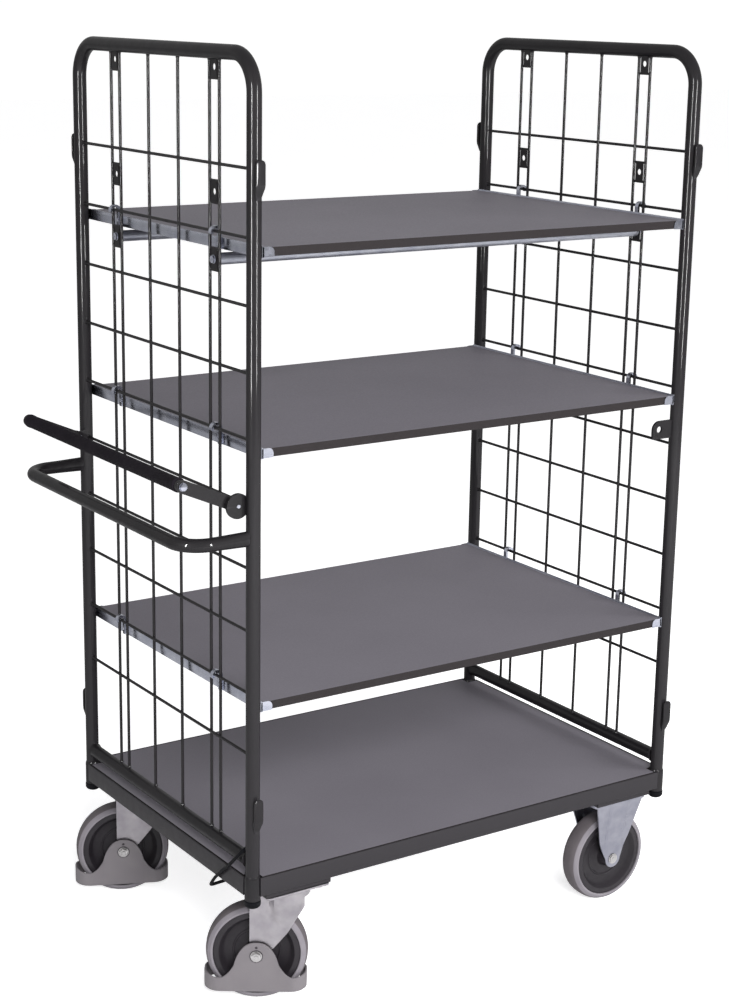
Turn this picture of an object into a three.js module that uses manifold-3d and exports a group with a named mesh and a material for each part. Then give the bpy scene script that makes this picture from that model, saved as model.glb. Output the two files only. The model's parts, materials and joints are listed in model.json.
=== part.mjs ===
// A four-level shelf trolley: two wire end panels on a framed deck, three shelves hooked on the
// panels, a push handle with a brake lever above it, two braked swivel castors with foot guards
// under the handle end and two fixed castors under the other end.
//
// Millimetres, +Z up. +X runs from the handle end to the fixed-castor end, and -Y is the open
// side that a user loads from. The origin is on the floor, in the middle of the whole object.
import * as THREE from "three";
import { mergeVertices } from "three/addons/utils/BufferGeometryUtils.js";
import Module from "manifold-3d";

// ---- driving dimensions ----
const DECK_TOP = 297; // loading surface above the floor
const POST_X = 508; // post centre lines, from the middle of the deck
const POST_Y = 338;
const TUBE_R = 13.5; // 27 mm frame tube
const TUBE_TOP = DECK_TOP + 1515; // centre line of the panels' top tube
const TUBE_LOW = DECK_TOP + 30; // centre line of the panels' bottom tube
const PANEL_BEND = 66;
const WIRE_R = 3;
const WIRE_PITCH = 120;
const LOWEST_WIRE = DECK_TOP + 240.8;
const WIRE_ROWS = 10;
const WIRE_INSET = 5; // upright wires are welded to the inner face of the level wires
const UPRIGHT_Y = [57.5, 174.5, 209.5];
const STRUT_Y = (UPRIGHT_Y[1] + UPRIGHT_Y[2]) / 2;
const STRUT_Z = DECK_TOP + 1149;

const RAIL_X = 521; // outer faces of the deck frame
const RAIL_Y = 351;
const RAIL_HEIGHT = 38;
const RAIL_WALL = 3;
const RAIL_FLANGE = 22;
const BOARD = 16; // laminate board thickness
const SLEEVE_R = 15.3; // sockets that the posts stand in
const SLEEVE_DROP = 47;
const CAP_R = 16;
const CAP_DROP = 64;
const GAP = 0.3; // between pieces that touch on the real object

const SHELF_WIRE_ROWS = { lower: 1, middle: 5, upper: 8 }; // level wire that each shelf hangs on
const SHELF_BELOW_WIRE = 15;
const SHELF_X = 494;
const SHELF_Y = 341;
const HOOK_Y = 198;

const HANDLE_R = 12.75;
const HANDLE_Z = DECK_TOP + 662.5;
const HANDLE_X = 647;
const HANDLE_BEND = 52;
const PIVOT_X = 535;
const PIVOT_Z = DECK_TOP + 723.5;
const LEVER_ARM = 118;
const LEVER_ANGLE = THREE.MathUtils.degToRad(23.8);
const ARM_HALF = 12; // half the height of the lever's flat arms
const ARM_INNER_Y = 317.5;
const ARM_THICK = 5;

const WHEEL_R = 100;
const TYRE_HALF = 24;
const CHANNEL_Z = DECK_TOP - 53.5; // underside of the castor channels
const SWIVEL_X = -405.5; // swivel axes, from the middle of the deck
const SWIVEL_Y = 287.5;
const FIXED_X = 417;
const FIXED_Y = 279;
const TRAIL = 53; // wheel axle behind the swivel axis
const FORK_INNER = 27; // inner faces of the swivel forks' legs
const FORK_OUTER = 31;
const FORK_TOP = CHANNEL_Z - 13; // top of the swivel fork's web
const FIXED_FORK_OUTER = 34.5;
const FIXED_FORK_WALL = 3.5;
const NEAR_HEADING = 146.3; // degrees from +X to the trailing wheel, castors as parked
const FAR_HEADING = 155.7;

const ROUND = 12; // facets round a tube
const FINE = 20; // facets round a wheel
const SIDES = [
  ["handle", -1],
  ["fixed", 1],
];
const FLANKS = [
  ["near", -1],
  ["far", 1],
];

const wasm = await Module();
wasm.setup();

// ---- materials ----
function paint(color, roughness, metalness) {
  return new THREE.MeshStandardMaterial({ color, roughness, metalness });
}
const ANTHRACITE = paint(0x3b393c, 0.38, 0.1);
const LAMINATE = paint(0x6c6970, 0.7, 0);
const ZINC = paint(0xb4b8c2, 0.3, 0.9);
const FORK_ZINC = paint(0xaaa5a6, 0.45, 0.8);
const BLACK_PLASTIC = paint(0x2c2a2d, 0.5, 0);
const SLEEVE_FOAM = paint(0x2f2b33, 0.75, 0);
const TYRE_RUBBER = paint(0x969298, 0.7, 0);
const HUB_PLASTIC = paint(0x47434a, 0.55, 0);
const GUARD_PLASTIC = paint(0x969194, 0.6, 0);

// ---- solids ----
const AXES = {
  x: new THREE.Vector3(1, 0, 0),
  y: new THREE.Vector3(0, 1, 0),
  z: new THREE.Vector3(0, 0, 1),
};

// A closed geometry as a solid that can be joined and cut.
function solid(geometry) {
  geometry.deleteAttribute("normal");
  geometry.deleteAttribute("uv");
  const merged = mergeVertices(geometry, 1e-4);
  return new wasm.Manifold(
    new wasm.Mesh({
      numProp: 3,
      vertProperties: merged.attributes.position.array,
      triVerts: Uint32Array.from(merged.index.array),
    }),
  );
}

function join(solids) {
  return solids.reduce((whole, next) => whole.add(next));
}

// A box between two values on each axis, in either order.
function block([x0, x1], [y0, y1], [z0, z1]) {
  const box = new THREE.BoxGeometry(Math.abs(x1 - x0), Math.abs(y1 - y0), Math.abs(z1 - z0));
  return solid(box.translate((x0 + x1) / 2, (y0 + y1) / 2, (z0 + z1) / 2));
}

// A round bar from one point to another.
function rod(radius, from, to, facets = ROUND) {
  const start = new THREE.Vector3(...from);
  const along = new THREE.Vector3(...to).sub(start);
  const bar = new THREE.CylinderGeometry(radius, radius, along.length(), facets);
  bar.translate(0, along.length() / 2, 0);
  bar.applyQuaternion(new THREE.Quaternion().setFromUnitVectors(AXES.y, along.normalize()));
  return solid(bar.translate(start.x, start.y, start.z));
}

// A flat outline drawn in (across, up) and given thickness along x or y.
function slab(outline, axis, from, to, curveSegments = 6) {
  const plate = new THREE.ExtrudeGeometry(outline, {
    depth: to - from,
    bevelEnabled: false,
    curveSegments,
  });
  plate.rotateX(Math.PI / 2); // outline's y goes up, thickness towards -y
  if (axis === "x") {
    plate.rotateZ(Math.PI / 2); // outline's x becomes y, thickness towards +x
    return solid(plate.translate(from, 0, 0));
  }
  return solid(plate.translate(0, to, 0));
}

// A profile of (radius, height) pairs turned about the z axis; closes on itself.
function turned(profile, facets = FINE) {
  const points = [...profile, profile[0]].map(([r, h]) => new THREE.Vector2(r, h));
  const lathe = new THREE.LatheGeometry(points, facets);
  lathe.rotateX(Math.PI / 2);
  const made = solid(lathe);
  return made.volume() < 0 ? turned([...profile].reverse(), facets) : made;
}

// The centre line of a bent tube: straight stretches, with an arc of one radius at each corner.
class BentLine extends THREE.Curve {
  constructor(corners, bend, arcSteps = 5) {
    super();
    const points = corners.map((corner) => new THREE.Vector3(...corner));
    const last = points.length - 1;
    this.stations = [{ at: points[0], along: points[1].clone().sub(points[0]).normalize() }];
    for (let i = 1; i < last; i++) {
      const before = points[i].clone().sub(points[i - 1]).normalize();
      const after = points[i + 1].clone().sub(points[i]).normalize();
      const turn = before.angleTo(after);
      const reach = bend * Math.tan(turn / 2);
      const start = points[i].clone().addScaledVector(before, -reach);
      const side = after.clone().addScaledVector(before, -Math.cos(turn)).normalize();
      for (let step = 0; step <= arcSteps; step++) {
        const angle = (turn * step) / arcSteps;
        const at = start.clone().addScaledVector(before, bend * Math.sin(angle));
        at.addScaledVector(side, bend * (1 - Math.cos(angle)));
        const along = before.clone().multiplyScalar(Math.cos(angle));
        this.stations.push({ at, along: along.addScaledVector(side, Math.sin(angle)) });
      }
    }
    const ending = points[last].clone().sub(points[last - 1]).normalize();
    this.stations.push({ at: points[last], along: ending });
  }

  station(u) {
    return this.stations[Math.round(u * (this.stations.length - 1))];
  }

  getPointAt(u) {
    return this.station(u).at.clone();
  }

  getTangentAt(u) {
    return this.station(u).along.clone();
  }
}

function bentTube(corners, bend, radius, facets = ROUND) {
  const line = new BentLine(corners, bend);
  const circle = new THREE.Shape().absarc(0, 0, radius, 0, 2 * Math.PI);
  return solid(
    new THREE.ExtrudeGeometry(circle, {
      steps: line.stations.length - 1,
      extrudePath: line,
      curveSegments: facets / 2, // an arc gets two facets for each segment
    }),
  );
}

// A hexagon head standing on a face: across-flats size, position of the face, and thickness.
function hexHead(acrossFlats, from, to) {
  return rod(acrossFlats / Math.sqrt(3), from, to, 6);
}

// ---- scene graph ----
function group(parent, [x, y, z] = [0, 0, 0]) {
  const made = new THREE.Group();
  made.position.set(x, y, z);
  parent.add(made);
  return made;
}

function piece(parent, name, material, shape) {
  const { numProp, vertProperties, triVerts } = shape.getMesh();
  const geometry = new THREE.BufferGeometry();
  geometry.setAttribute("position", new THREE.BufferAttribute(vertProperties, numProp));
  geometry.setIndex(new THREE.BufferAttribute(triVerts, 1));
  const flat = geometry.toNonIndexed();
  flat.computeVertexNormals();
  const mesh = new THREE.Mesh(flat, material);
  mesh.name = name;
  parent.add(mesh);
  return mesh;
}

// ---- deck frame ----
// One side rail along x: outer wall, a ledge under the board and a flange at the bottom.
function rail(length, outer, alongX) {
  const sign = Math.sign(outer);
  const inner = outer - sign * RAIL_WALL;
  const lip = outer - sign * RAIL_FLANGE;
  const boardSeat = DECK_TOP - BOARD - GAP;
  const bottom = DECK_TOP - RAIL_HEIGHT;
  const pieces = [
    [inner, [bottom, DECK_TOP]],
    [lip, [boardSeat - RAIL_WALL, boardSeat]],
    [lip, [bottom, bottom + RAIL_WALL]],
  ].map(([edge, heights]) =>
    alongX
      ? block([-length, length], [outer, edge], heights)
      : block([outer, edge], [-length, length], heights),
  );
  return join(pieces);
}

function deckFrame() {
  const rails = [];
  for (const [, sign] of SIDES) {
    rails.push(rail(POST_Y, sign * RAIL_X, false));
    rails.push(rail(POST_X, sign * RAIL_Y, true));
  }
  let frame = join(rails);
  for (const [, sx] of SIDES) {
    for (const [, sy] of FLANKS) {
      const [x, y] = [sx * POST_X, sy * POST_Y];
      frame = frame
        .add(rod(SLEEVE_R, [x, y, DECK_TOP - SLEEVE_DROP], [x, y, DECK_TOP + 2]))
        .subtract(rod(TUBE_R + GAP, [x, y, DECK_TOP - CAP_DROP], [x, y, DECK_TOP + 10]));
    }
  }
  return frame;
}

function deckBoard() {
  const [x, y] = [RAIL_X - RAIL_WALL - GAP, RAIL_Y - RAIL_WALL - GAP];
  let board = block([-x, x], [-y, y], [DECK_TOP - BOARD, DECK_TOP]);
  const clear = SLEEVE_R + 1;
  for (const [, sx] of SIDES) {
    for (const [, sy] of FLANKS) {
      const notch = block(
        [sx * (POST_X - clear), sx * RAIL_X],
        [sy * (POST_Y - clear), sy * RAIL_Y],
        [DECK_TOP - BOARD - 1, DECK_TOP + 1],
      );
      board = board.subtract(notch);
    }
  }
  return board;
}

// A shallow steel pan under both side rails, that two castors bolt to.
const CHANNEL_HALF = 72.5;
const CHANNEL_END = 340;
const CABLE_R = 2.75;
const CABLE_Y = -240; // where the brake cable enters the handle-end channel
const CABLE_Z = CHANNEL_Z + 6;
function castorChannel(middle) {
  const top = DECK_TOP - RAIL_HEIGHT - GAP;
  const wall = 3;
  const pan = (inset, low, high) => {
    const [half, end] = [CHANNEL_HALF - inset, CHANNEL_END - inset];
    return block([middle - half, middle + half], [-end, end], [low, high]);
  };
  return pan(0, CHANNEL_Z, top).subtract(pan(wall, CHANNEL_Z + wall, top + 1));
}

function cableHole(channelMiddle) {
  const edge = channelMiddle - CHANNEL_HALF;
  return rod(CABLE_R + 1, [edge - 2, CABLE_Y, CABLE_Z], [edge + 5, CABLE_Y, CABLE_Z], 8);
}

// A rounded plastic plug that closes a post from below.
function cornerCap() {
  const seat = DECK_TOP - SLEEVE_DROP - GAP;
  const bottom = DECK_TOP - CAP_DROP;
  return turned(
    [
      [0, bottom],
      [9, bottom + 0.6],
      [13.5, bottom + 4],
      [CAP_R, bottom + 9],
      [CAP_R, seat],
      [0, seat],
    ],
    ROUND,
  );
}

// ---- end panels ----
// A flat strip hook welded to the outside of a post, leaning out to a free tongue.
const HOOK_TALL = 70;
const HOOK_LOWS = [DECK_TOP + 93, DECK_TOP + 1268]; // lower ends, one hook above the other
function postHook(x, sy, low) {
  const thick = 5;
  const face = POST_Y + TUBE_R - 0.5;
  const out = face + 6;
  const outline = new THREE.Shape([
    new THREE.Vector2(face, low),
    new THREE.Vector2(face + 2, low),
    new THREE.Vector2(out + thick, low + 25),
    new THREE.Vector2(out + thick, low + HOOK_TALL),
    new THREE.Vector2(out, low + HOOK_TALL),
    new THREE.Vector2(out, low + 27),
    new THREE.Vector2(face, low + 19),
  ]);
  const hook = slab(outline, "x", x - 8, x + 8);
  return sy > 0 ? hook : hook.mirror([0, 1, 0]);
}

// A small plate between a pair of upright wires, with a hole for a strut screw.
function strutPlate(x, y, z) {
  const plate = block([x - 2, x + 2], [y - 18, y + 18], [z - 17, z + 17]);
  return plate.subtract(rod(6.2, [x - 5, y, z], [x + 5, y, z], 12));
}

function endPanel(sx) {
  const x = sx * POST_X;
  const inner = x - sx * WIRE_INSET;
  const foot = DECK_TOP - SLEEVE_DROP + 1;
  const parts = [
    bentTube(
      [
        [x, -POST_Y, foot],
        [x, -POST_Y, TUBE_TOP],
        [x, POST_Y, TUBE_TOP],
        [x, POST_Y, foot],
      ],
      PANEL_BEND,
      TUBE_R,
    ),
    rod(TUBE_R, [x, -POST_Y, TUBE_LOW], [x, POST_Y, TUBE_LOW]),
  ];
  for (let row = 0; row < WIRE_ROWS; row++) {
    const z = LOWEST_WIRE + row * WIRE_PITCH;
    parts.push(rod(WIRE_R, [x, -POST_Y, z], [x, POST_Y, z], 6));
  }
  for (const [, sy] of FLANKS) {
    for (const y of UPRIGHT_Y) {
      parts.push(rod(WIRE_R, [inner, sy * y, TUBE_LOW], [inner, sy * y, TUBE_TOP], 6));
    }
    for (const z of [DECK_TOP + 1488, DECK_TOP + 1270, STRUT_Z]) {
      parts.push(strutPlate(inner, sy * STRUT_Y, z));
    }
    for (const low of HOOK_LOWS) {
      parts.push(postHook(x, sy, low));
    }
  }
  return join(parts);
}

// Round ears on the two handle-end posts, that carry the brake lever's pivot pins.
const EAR_R = { near: 23.5, far: 13 };
function withEars(panel) {
  let made = panel;
  for (const [flank, sy] of FLANKS) {
    const [from, to] = [sy * 325, sy * 331];
    const ear = rod(EAR_R[flank], [-PIVOT_X, from, PIVOT_Z], [-PIVOT_X, to, PIVOT_Z], FINE)
      .add(block([-PIVOT_X, -POST_X], [from, to], [PIVOT_Z - 9, PIVOT_Z + 9]));
    const bore = rod(4.3, [-PIVOT_X, sy * 320, PIVOT_Z], [-PIVOT_X, sy * 336, PIVOT_Z], 12);
    made = made.add(ear).subtract(bore);
  }
  return made;
}

// A flat lug with one hole, on the near post of the fixed-castor end.
function withLug(panel) {
  const low = DECK_TOP + 738;
  const [width, height, corner] = [58, 38, 18];
  const left = POST_X - 65;
  const outline = new THREE.Shape();
  outline.moveTo(left + width, low);
  outline.lineTo(left + width, low + height);
  outline.lineTo(left + corner, low + height);
  outline.absarc(left + corner, low + height - corner, corner, Math.PI / 2, Math.PI, false);
  outline.lineTo(left, low + 8);
  outline.lineTo(left + 8, low);
  const lug = slab(outline, "y", -POST_Y - 2.5, -POST_Y + 2.5);
  const [x, z] = [left + corner, low + height - corner];
  const hole = rod(7, [x, -POST_Y - 5, z], [x, -POST_Y + 5, z], 12);
  return panel.add(lug.subtract(hole));
}

function strut(sy) {
  const end = POST_X - WIRE_INSET - 2 - GAP;
  const y = sy * STRUT_Y;
  const bore = 26;
  return rod(11, [-end, y, STRUT_Z], [end, y, STRUT_Z])
    .subtract(rod(4.3, [-end - 1, y, STRUT_Z], [-end + bore, y, STRUT_Z], 10))
    .subtract(rod(4.3, [end - bore, y, STRUT_Z], [end + 1, y, STRUT_Z], 10));
}

function strutScrew(sx, sy) {
  const face = sx * (POST_X - WIRE_INSET + 2 + GAP);
  const y = sy * STRUT_Y;
  const head = hexHead(13, [face, y, STRUT_Z], [face + sx * 5.3, y, STRUT_Z]);
  return head.add(rod(4, [face - sx * 26, y, STRUT_Z], [face, y, STRUT_Z], 10));
}

// ---- shelves ----
const PROFILE_WALL = 4;
function shelfBoard(top) {
  const x = SHELF_X - PROFILE_WALL - GAP;
  return block([-x, x], [-SHELF_Y, SHELF_Y], [top - BOARD, top]);
}

const PROFILE_LIP = 3; // the profile stands this far above the board
const PROFILE_DROP = 18.5; // and reaches this far below the board's top
const TAB = 25;

// The metal edge of one shelf end: an upright strip, a tab round each end of it that wraps the
// board's long edge, and two hooks that drop over a level wire.
function shelfProfile(sx, top) {
  const sheet = 1.5;
  const edge = SHELF_Y + GAP + sheet;
  const strip = [SHELF_X - PROFILE_WALL, SHELF_X];
  const parts = [block(strip, [-edge, edge], [top - PROFILE_DROP, top + PROFILE_LIP])];
  for (const [, sy] of FLANKS) {
    const [from, to] = sy > 0 ? [SHELF_Y + GAP, edge] : [-edge, -SHELF_Y - GAP];
    parts.push(slab(tabOutline(top), "y", from, to, 3));
    parts.push(shelfHook(sy * HOOK_Y, top));
  }
  const profile = join(parts);
  return sx > 0 ? profile : profile.mirror([1, 0, 0]);
}

function tabOutline(top) {
  const [low, high, corner] = [top - BOARD - 1, top + 1, 10];
  const left = SHELF_X - TAB;
  const outline = new THREE.Shape();
  outline.moveTo(SHELF_X - 1, low);
  outline.lineTo(SHELF_X - 1, high);
  outline.lineTo(left + corner, high);
  outline.absarc(left + corner, high - corner, corner, Math.PI / 2, Math.PI, false);
  outline.lineTo(left, low);
  return outline;
}

// A strip up the profile's outer face, over the wire in a half circle, and down again.
function shelfHook(y, top) {
  const wire = top + SHELF_BELOW_WIRE;
  const [inner, thick] = [6.5, 5];
  const middle = SHELF_X + thick + inner;
  const rise = wire - 2; // centre of the half circle, with the wire up against its inside
  const lip = wire - 5;
  const outline = new THREE.Shape();
  outline.moveTo(SHELF_X - 2, top - PROFILE_DROP + 0.5);
  outline.lineTo(middle - inner, top - PROFILE_DROP + 0.5);
  outline.lineTo(middle - inner, rise);
  outline.absarc(middle, rise, inner, Math.PI, 0, true);
  outline.lineTo(middle + inner, lip);
  outline.lineTo(middle + inner + thick, lip);
  outline.lineTo(middle + inner + thick, rise);
  outline.absarc(middle, rise, inner + thick, 0, Math.PI, false);
  outline.lineTo(SHELF_X - 2, top + PROFILE_LIP - 1);
  return slab(outline, "y", y - 5.5, y + 5.5, 4);
}

// ---- push handle and brake lever ----
function pushHandle() {
  const bow = bentTube(
    [
      [-POST_X, -POST_Y, HANDLE_Z],
      [-HANDLE_X, -POST_Y, HANDLE_Z],
      [-HANDLE_X, POST_Y, HANDLE_Z],
      [-POST_X, POST_Y, HANDLE_Z],
    ],
    HANDLE_BEND,
    HANDLE_R,
  );
  return FLANKS.reduce((made, [, sy]) => {
    const from = [-POST_X, sy * POST_Y, HANDLE_Z - 30];
    const to = [-POST_X, sy * POST_Y, HANDLE_Z + 30];
    return made.subtract(rod(TUBE_R + GAP + 0.2, from, to, ROUND));
  }, bow);
}

function pivotPin(sy) {
  const y = (distance) => [-PIVOT_X, sy * distance, PIVOT_Z];
  return rod(4, y(314), y(333), 12).add(rod(7, y(312), y(315), 12));
}

// The lever's pieces are drawn with the pivot at the origin and the arms along -x.
function leverArm(sy) {
  const from = sy > 0 ? ARM_INNER_Y : -ARM_INNER_Y - ARM_THICK;
  const outline = new THREE.Shape();
  outline.absarc(0, 0, ARM_HALF, -Math.PI / 2, Math.PI / 2, false);
  outline.absarc(-LEVER_ARM, 0, ARM_HALF, Math.PI / 2, (3 * Math.PI) / 2, false);
  const flat = slab(outline, "y", from, from + ARM_THICK, 5);
  const through = (x, radius) => rod(radius, [x, from - 2, 0], [x, from + ARM_THICK + 2, 0], 12);
  return flat.subtract(through(0, 4.3)).subtract(through(-LEVER_ARM, 4.3));
}

function gripTube() {
  const end = ARM_INNER_Y - GAP;
  let bar = rod(11, [-LEVER_ARM, -end, 0], [-LEVER_ARM, end, 0]);
  for (const [, sy] of FLANKS) {
    const from = [-LEVER_ARM, sy * (end - 24), 0];
    bar = bar.subtract(rod(4.3, from, [-LEVER_ARM, sy * (end + 1), 0], 10));
  }
  return bar;
}

function gripSleeve() {
  const [from, to] = [-308, 315];
  const outer = rod(TUBE_R, [-LEVER_ARM, from, 0], [-LEVER_ARM, to, 0]);
  return outer.subtract(rod(11 + GAP, [-LEVER_ARM, from - 1, 0], [-LEVER_ARM, to + 1, 0]));
}

function gripScrew(sy) {
  const face = ARM_INNER_Y + ARM_THICK + GAP;
  const y = (distance) => [-LEVER_ARM, sy * distance, 0];
  return hexHead(13, y(face), y(face + 5.3)).add(rod(4, y(face - 26), y(face), 10));
}

// ---- castors: drawn about the swivel axis, with the wheel trailing along +x ----
const PLATE_TOP = CHANNEL_Z - GAP;
const PLATE_UNDER = PLATE_TOP - 4;
const [PLATE_X, PLATE_Y] = [70, 55]; // half the size of a castor's top plate

// The top plate's four fixing bolts are part of it: only their heads stand below the plate.
function castorPlate() {
  const parts = [block([-PLATE_X, PLATE_X], [-PLATE_Y, PLATE_Y], [PLATE_UNDER, PLATE_TOP])];
  for (const x of [-52.5, 52.5]) {
    for (const y of [-40, 40]) {
      parts.push(hexHead(13, [x, y, PLATE_UNDER - 6], [x, y, PLATE_UNDER]));
    }
  }
  return join(parts);
}

// The plate carries a hollow kingpin whose riveted collar holds the fork up.
function swivelPlate() {
  const low = FORK_TOP - 15.5;
  return castorPlate()
    .add(rod(8.5, [0, 0, low], [0, 0, PLATE_UNDER + 1], 12))
    .add(rod(14, [0, 0, low], [0, 0, FORK_TOP - 6 - GAP], 12))
    .subtract(rod(4.2, [0, 0, low - 1], [0, 0, CHANNEL_Z + 1], 10));
}

const HEAD_R = 50;
const HEAD_WALL = 4;

// Side view of a leg: upright behind the axle, and sloping forwards under the round head.
function swivelLegOutline() {
  const outline = new THREE.Shape();
  const behind = 13.5; // the leg's upright rear edge, behind the axle
  const footR = 16;
  const turn = Math.acos(behind / footR);
  const back = TRAIL + behind;
  const high = FORK_TOP - 1;
  outline.moveTo(-HEAD_R, high);
  outline.lineTo(back, high);
  outline.absarc(TRAIL, WHEEL_R, footR, -turn, turn - Math.PI, true);
  outline.lineTo(TRAIL - 33, WHEEL_R + 14);
  outline.lineTo(TRAIL - 61, WHEEL_R + 48);
  outline.lineTo(TRAIL - 83, WHEEL_R + 87);
  outline.lineTo(TRAIL - 93, WHEEL_R + 104);
  return outline;
}

// Shoulders that widen the front of the legs into the round head.
function forkShoulders() {
  const [low, high] = [FORK_TOP - 75, FORK_TOP - 14];
  const foot = FORK_OUTER + 2;
  const bell = turned([
    [HEAD_R - HEAD_WALL, FORK_TOP],
    [HEAD_R - HEAD_WALL, high],
    [foot - HEAD_WALL, low],
    [foot, low],
    [HEAD_R, high],
    [HEAD_R, FORK_TOP],
  ]);
  const crease = TRAIL - 24; // the leg is flat behind it
  return bell
    .intersect(slab(swivelLegOutline(), "y", -HEAD_R - 1, HEAD_R + 1))
    .subtract(block([-70, 70], [-FORK_INNER, FORK_INNER], [low - 1, FORK_TOP - 6]))
    .subtract(block([crease, 70], [-60, 60], [low - 1, FORK_TOP + 1]));
}

function swivelFork() {
  const outline = swivelLegOutline();
  const leg = slab(outline, "y", FORK_INNER, FORK_OUTER, 4);
  const web = FORK_TOP - 6;
  const rim = turned([
    [HEAD_R - HEAD_WALL, web],
    [HEAD_R, web],
    [HEAD_R, FORK_TOP + 7.5],
    [HEAD_R - HEAD_WALL, FORK_TOP + 7.5],
  ]);
  const reach = FORK_OUTER + 2;
  return leg
    .add(leg.mirror([0, 1, 0]))
    .add(block([-20, TRAIL + 13.5], [-FORK_OUTER, FORK_OUTER], [web, FORK_TOP]))
    .add(forkShoulders())
    .add(rod(HEAD_R - 1, [0, 0, web], [0, 0, FORK_TOP], FINE))
    .add(rim)
    .subtract(rod(8.9, [0, 0, web - 2], [0, 0, FORK_TOP + 2], 12))
    .subtract(rod(6.4, [TRAIL, -reach, WHEEL_R], [TRAIL, reach, WHEEL_R], 12));
}

// The seal ring round the balls between plate and fork.
function ballRing() {
  const [low, high] = [FORK_TOP + GAP, PLATE_UNDER - GAP];
  return turned([
    [31, low],
    [42, low],
    [42, high],
    [31, high],
  ]);
}

// The fixed fork is one pressing: a plate with a turned-down rim, and two legs that come down
// from its long sides and bend in to the axle.
function fixedFork() {
  const wall = FIXED_FORK_WALL;
  const rim = PLATE_TOP - 12;
  const plate = block([-PLATE_X, PLATE_X], [-PLATE_Y, PLATE_Y], [rim, PLATE_TOP - 1]);
  const [x, y] = [PLATE_X - wall, PLATE_Y - wall];
  const hollow = block([-x, x], [-y, y], [rim - 1, PLATE_UNDER]);

  const section = new THREE.Shape([
    new THREE.Vector2(PLATE_Y, PLATE_UNDER),
    new THREE.Vector2(PLATE_Y, WHEEL_R + 55),
    new THREE.Vector2(FIXED_FORK_OUTER, WHEEL_R + 20),
    new THREE.Vector2(FIXED_FORK_OUTER, WHEEL_R - 25),
    new THREE.Vector2(FIXED_FORK_OUTER - wall, WHEEL_R - 25),
    new THREE.Vector2(FIXED_FORK_OUTER - wall, WHEEL_R + 21),
    new THREE.Vector2(PLATE_Y - wall, WHEEL_R + 56),
    new THREE.Vector2(PLATE_Y - wall, PLATE_UNDER),
  ]);
  const side = new THREE.Shape();
  side.moveTo(64, PLATE_UNDER + 1);
  side.lineTo(-64, PLATE_UNDER + 1);
  side.lineTo(-47, WHEEL_R + 66);
  side.absarc(0, WHEEL_R, 22, Math.PI - 0.2, 2 * Math.PI + 0.2, false);
  side.lineTo(47, WHEEL_R + 66);
  const leg = slab(section, "x", -PLATE_X, PLATE_X).intersect(
    slab(side, "y", 0, PLATE_Y + 1, 4),
  );
  const reach = FIXED_FORK_OUTER + 2;
  return plate
    .subtract(hollow)
    .add(castorPlate())
    .add(leg)
    .add(leg.mirror([0, 1, 0]))
    .subtract(rod(6.4, [0, -reach, WHEEL_R], [0, reach, WHEEL_R], 12));
}

// A plastic foot guard: a low ring round the tyre whose long sides rise to the axle bolt.
const GUARD_HALF = 38; // half its width
function footGuard() {
  const [middle, halfLong, corner, wall] = [TRAIL + 2.5, 101, 32, 4];
  const ring = (inset, low, high) => {
    const [x, y, r] = [halfLong - inset, GUARD_HALF - inset, corner - inset];
    const outline = new THREE.Shape();
    outline.absarc(x - r, y - r, r, 0, Math.PI / 2, false);
    outline.absarc(r - x, y - r, r, Math.PI / 2, Math.PI, false);
    outline.absarc(r - x, r - y, r, Math.PI, 1.5 * Math.PI, false);
    outline.absarc(x - r, r - y, r, 1.5 * Math.PI, 2 * Math.PI, false);
    const depth = high - low;
    const flat = new THREE.ExtrudeGeometry(outline, { depth, bevelEnabled: false, curveSegments: 3 });
    return solid(flat.translate(middle, 0, low));
  };
  const [bottom, end, dip, top] = [24, 58, 53, 128];
  const side = new THREE.Shape();
  const ends = halfLong + 4;
  side.moveTo(middle - ends, bottom);
  side.lineTo(middle + ends, bottom);
  side.lineTo(middle + ends, end);
  side.bezierCurveTo(TRAIL + 90, dip + 1, TRAIL + 82, dip, TRAIL + 73, dip);
  side.bezierCurveTo(TRAIL + 62, dip, TRAIL + 50, dip + 12, TRAIL + 43, dip + 29);
  side.bezierCurveTo(TRAIL + 38, dip + 45, TRAIL + 26, top, TRAIL, top);
  side.bezierCurveTo(TRAIL - 26, top, TRAIL - 38, dip + 45, TRAIL - 43, dip + 29);
  side.bezierCurveTo(TRAIL - 50, dip + 12, TRAIL - 62, dip, TRAIL - 73, dip);
  side.bezierCurveTo(TRAIL - 82, dip, TRAIL - 90, dip + 1, middle - ends, end);
  const bolt = rod(6.4, [TRAIL, -GUARD_HALF - 2, WHEEL_R], [TRAIL, GUARD_HALF + 2, WHEEL_R], 12);
  return ring(0, bottom, top + 1)
    .subtract(ring(wall, bottom - 1, top + 2))
    .intersect(slab(side, "y", -GUARD_HALF - 1, GUARD_HALF + 1, 5))
    .subtract(bolt);
}

// An axle bolt with a washer and a hexagon at each end, outside the given half width.
function axleBolt(x, face, reach) {
  const y = (distance) => [x, distance, WHEEL_R];
  const parts = [rod(6, y(-face - 2), y(face + 2), 12)];
  for (const [, sy] of FLANKS) {
    parts.push(rod(12, y(sy * (face + GAP)), y(sy * (face + 1.8)), 12));
    parts.push(hexHead(19, y(sy * (face + 1.5)), y(sy * (face + reach))));
  }
  return join(parts);
}

// The block that is pressed on the tread when the lever is let go, with its push rod.
function brakeShoe() {
  const pad = block([-16, 12], [-14, 14], [170, FORK_TOP - 22]);
  const y = (side) => [TRAIL, side, WHEEL_R];
  const tread = rod((WHEEL_R + 1.5) / Math.cos(Math.PI / FINE), y(-30), y(30), FINE * 2);
  const stem = rod(3.5, [0, 0, FORK_TOP - 24], [0, 0, CHANNEL_Z - 9], 8);
  return pad.subtract(tread).add(stem);
}

// Wheel pieces are turned about y; a flat between facets is turned to the floor.
function wheelPiece(profile) {
  const turn = 180 / FINE;
  return turned(profile).rotate([0, 0, turn]).rotate([90, 0, 0]).translate([0, 0, WHEEL_R]);
}

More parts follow.
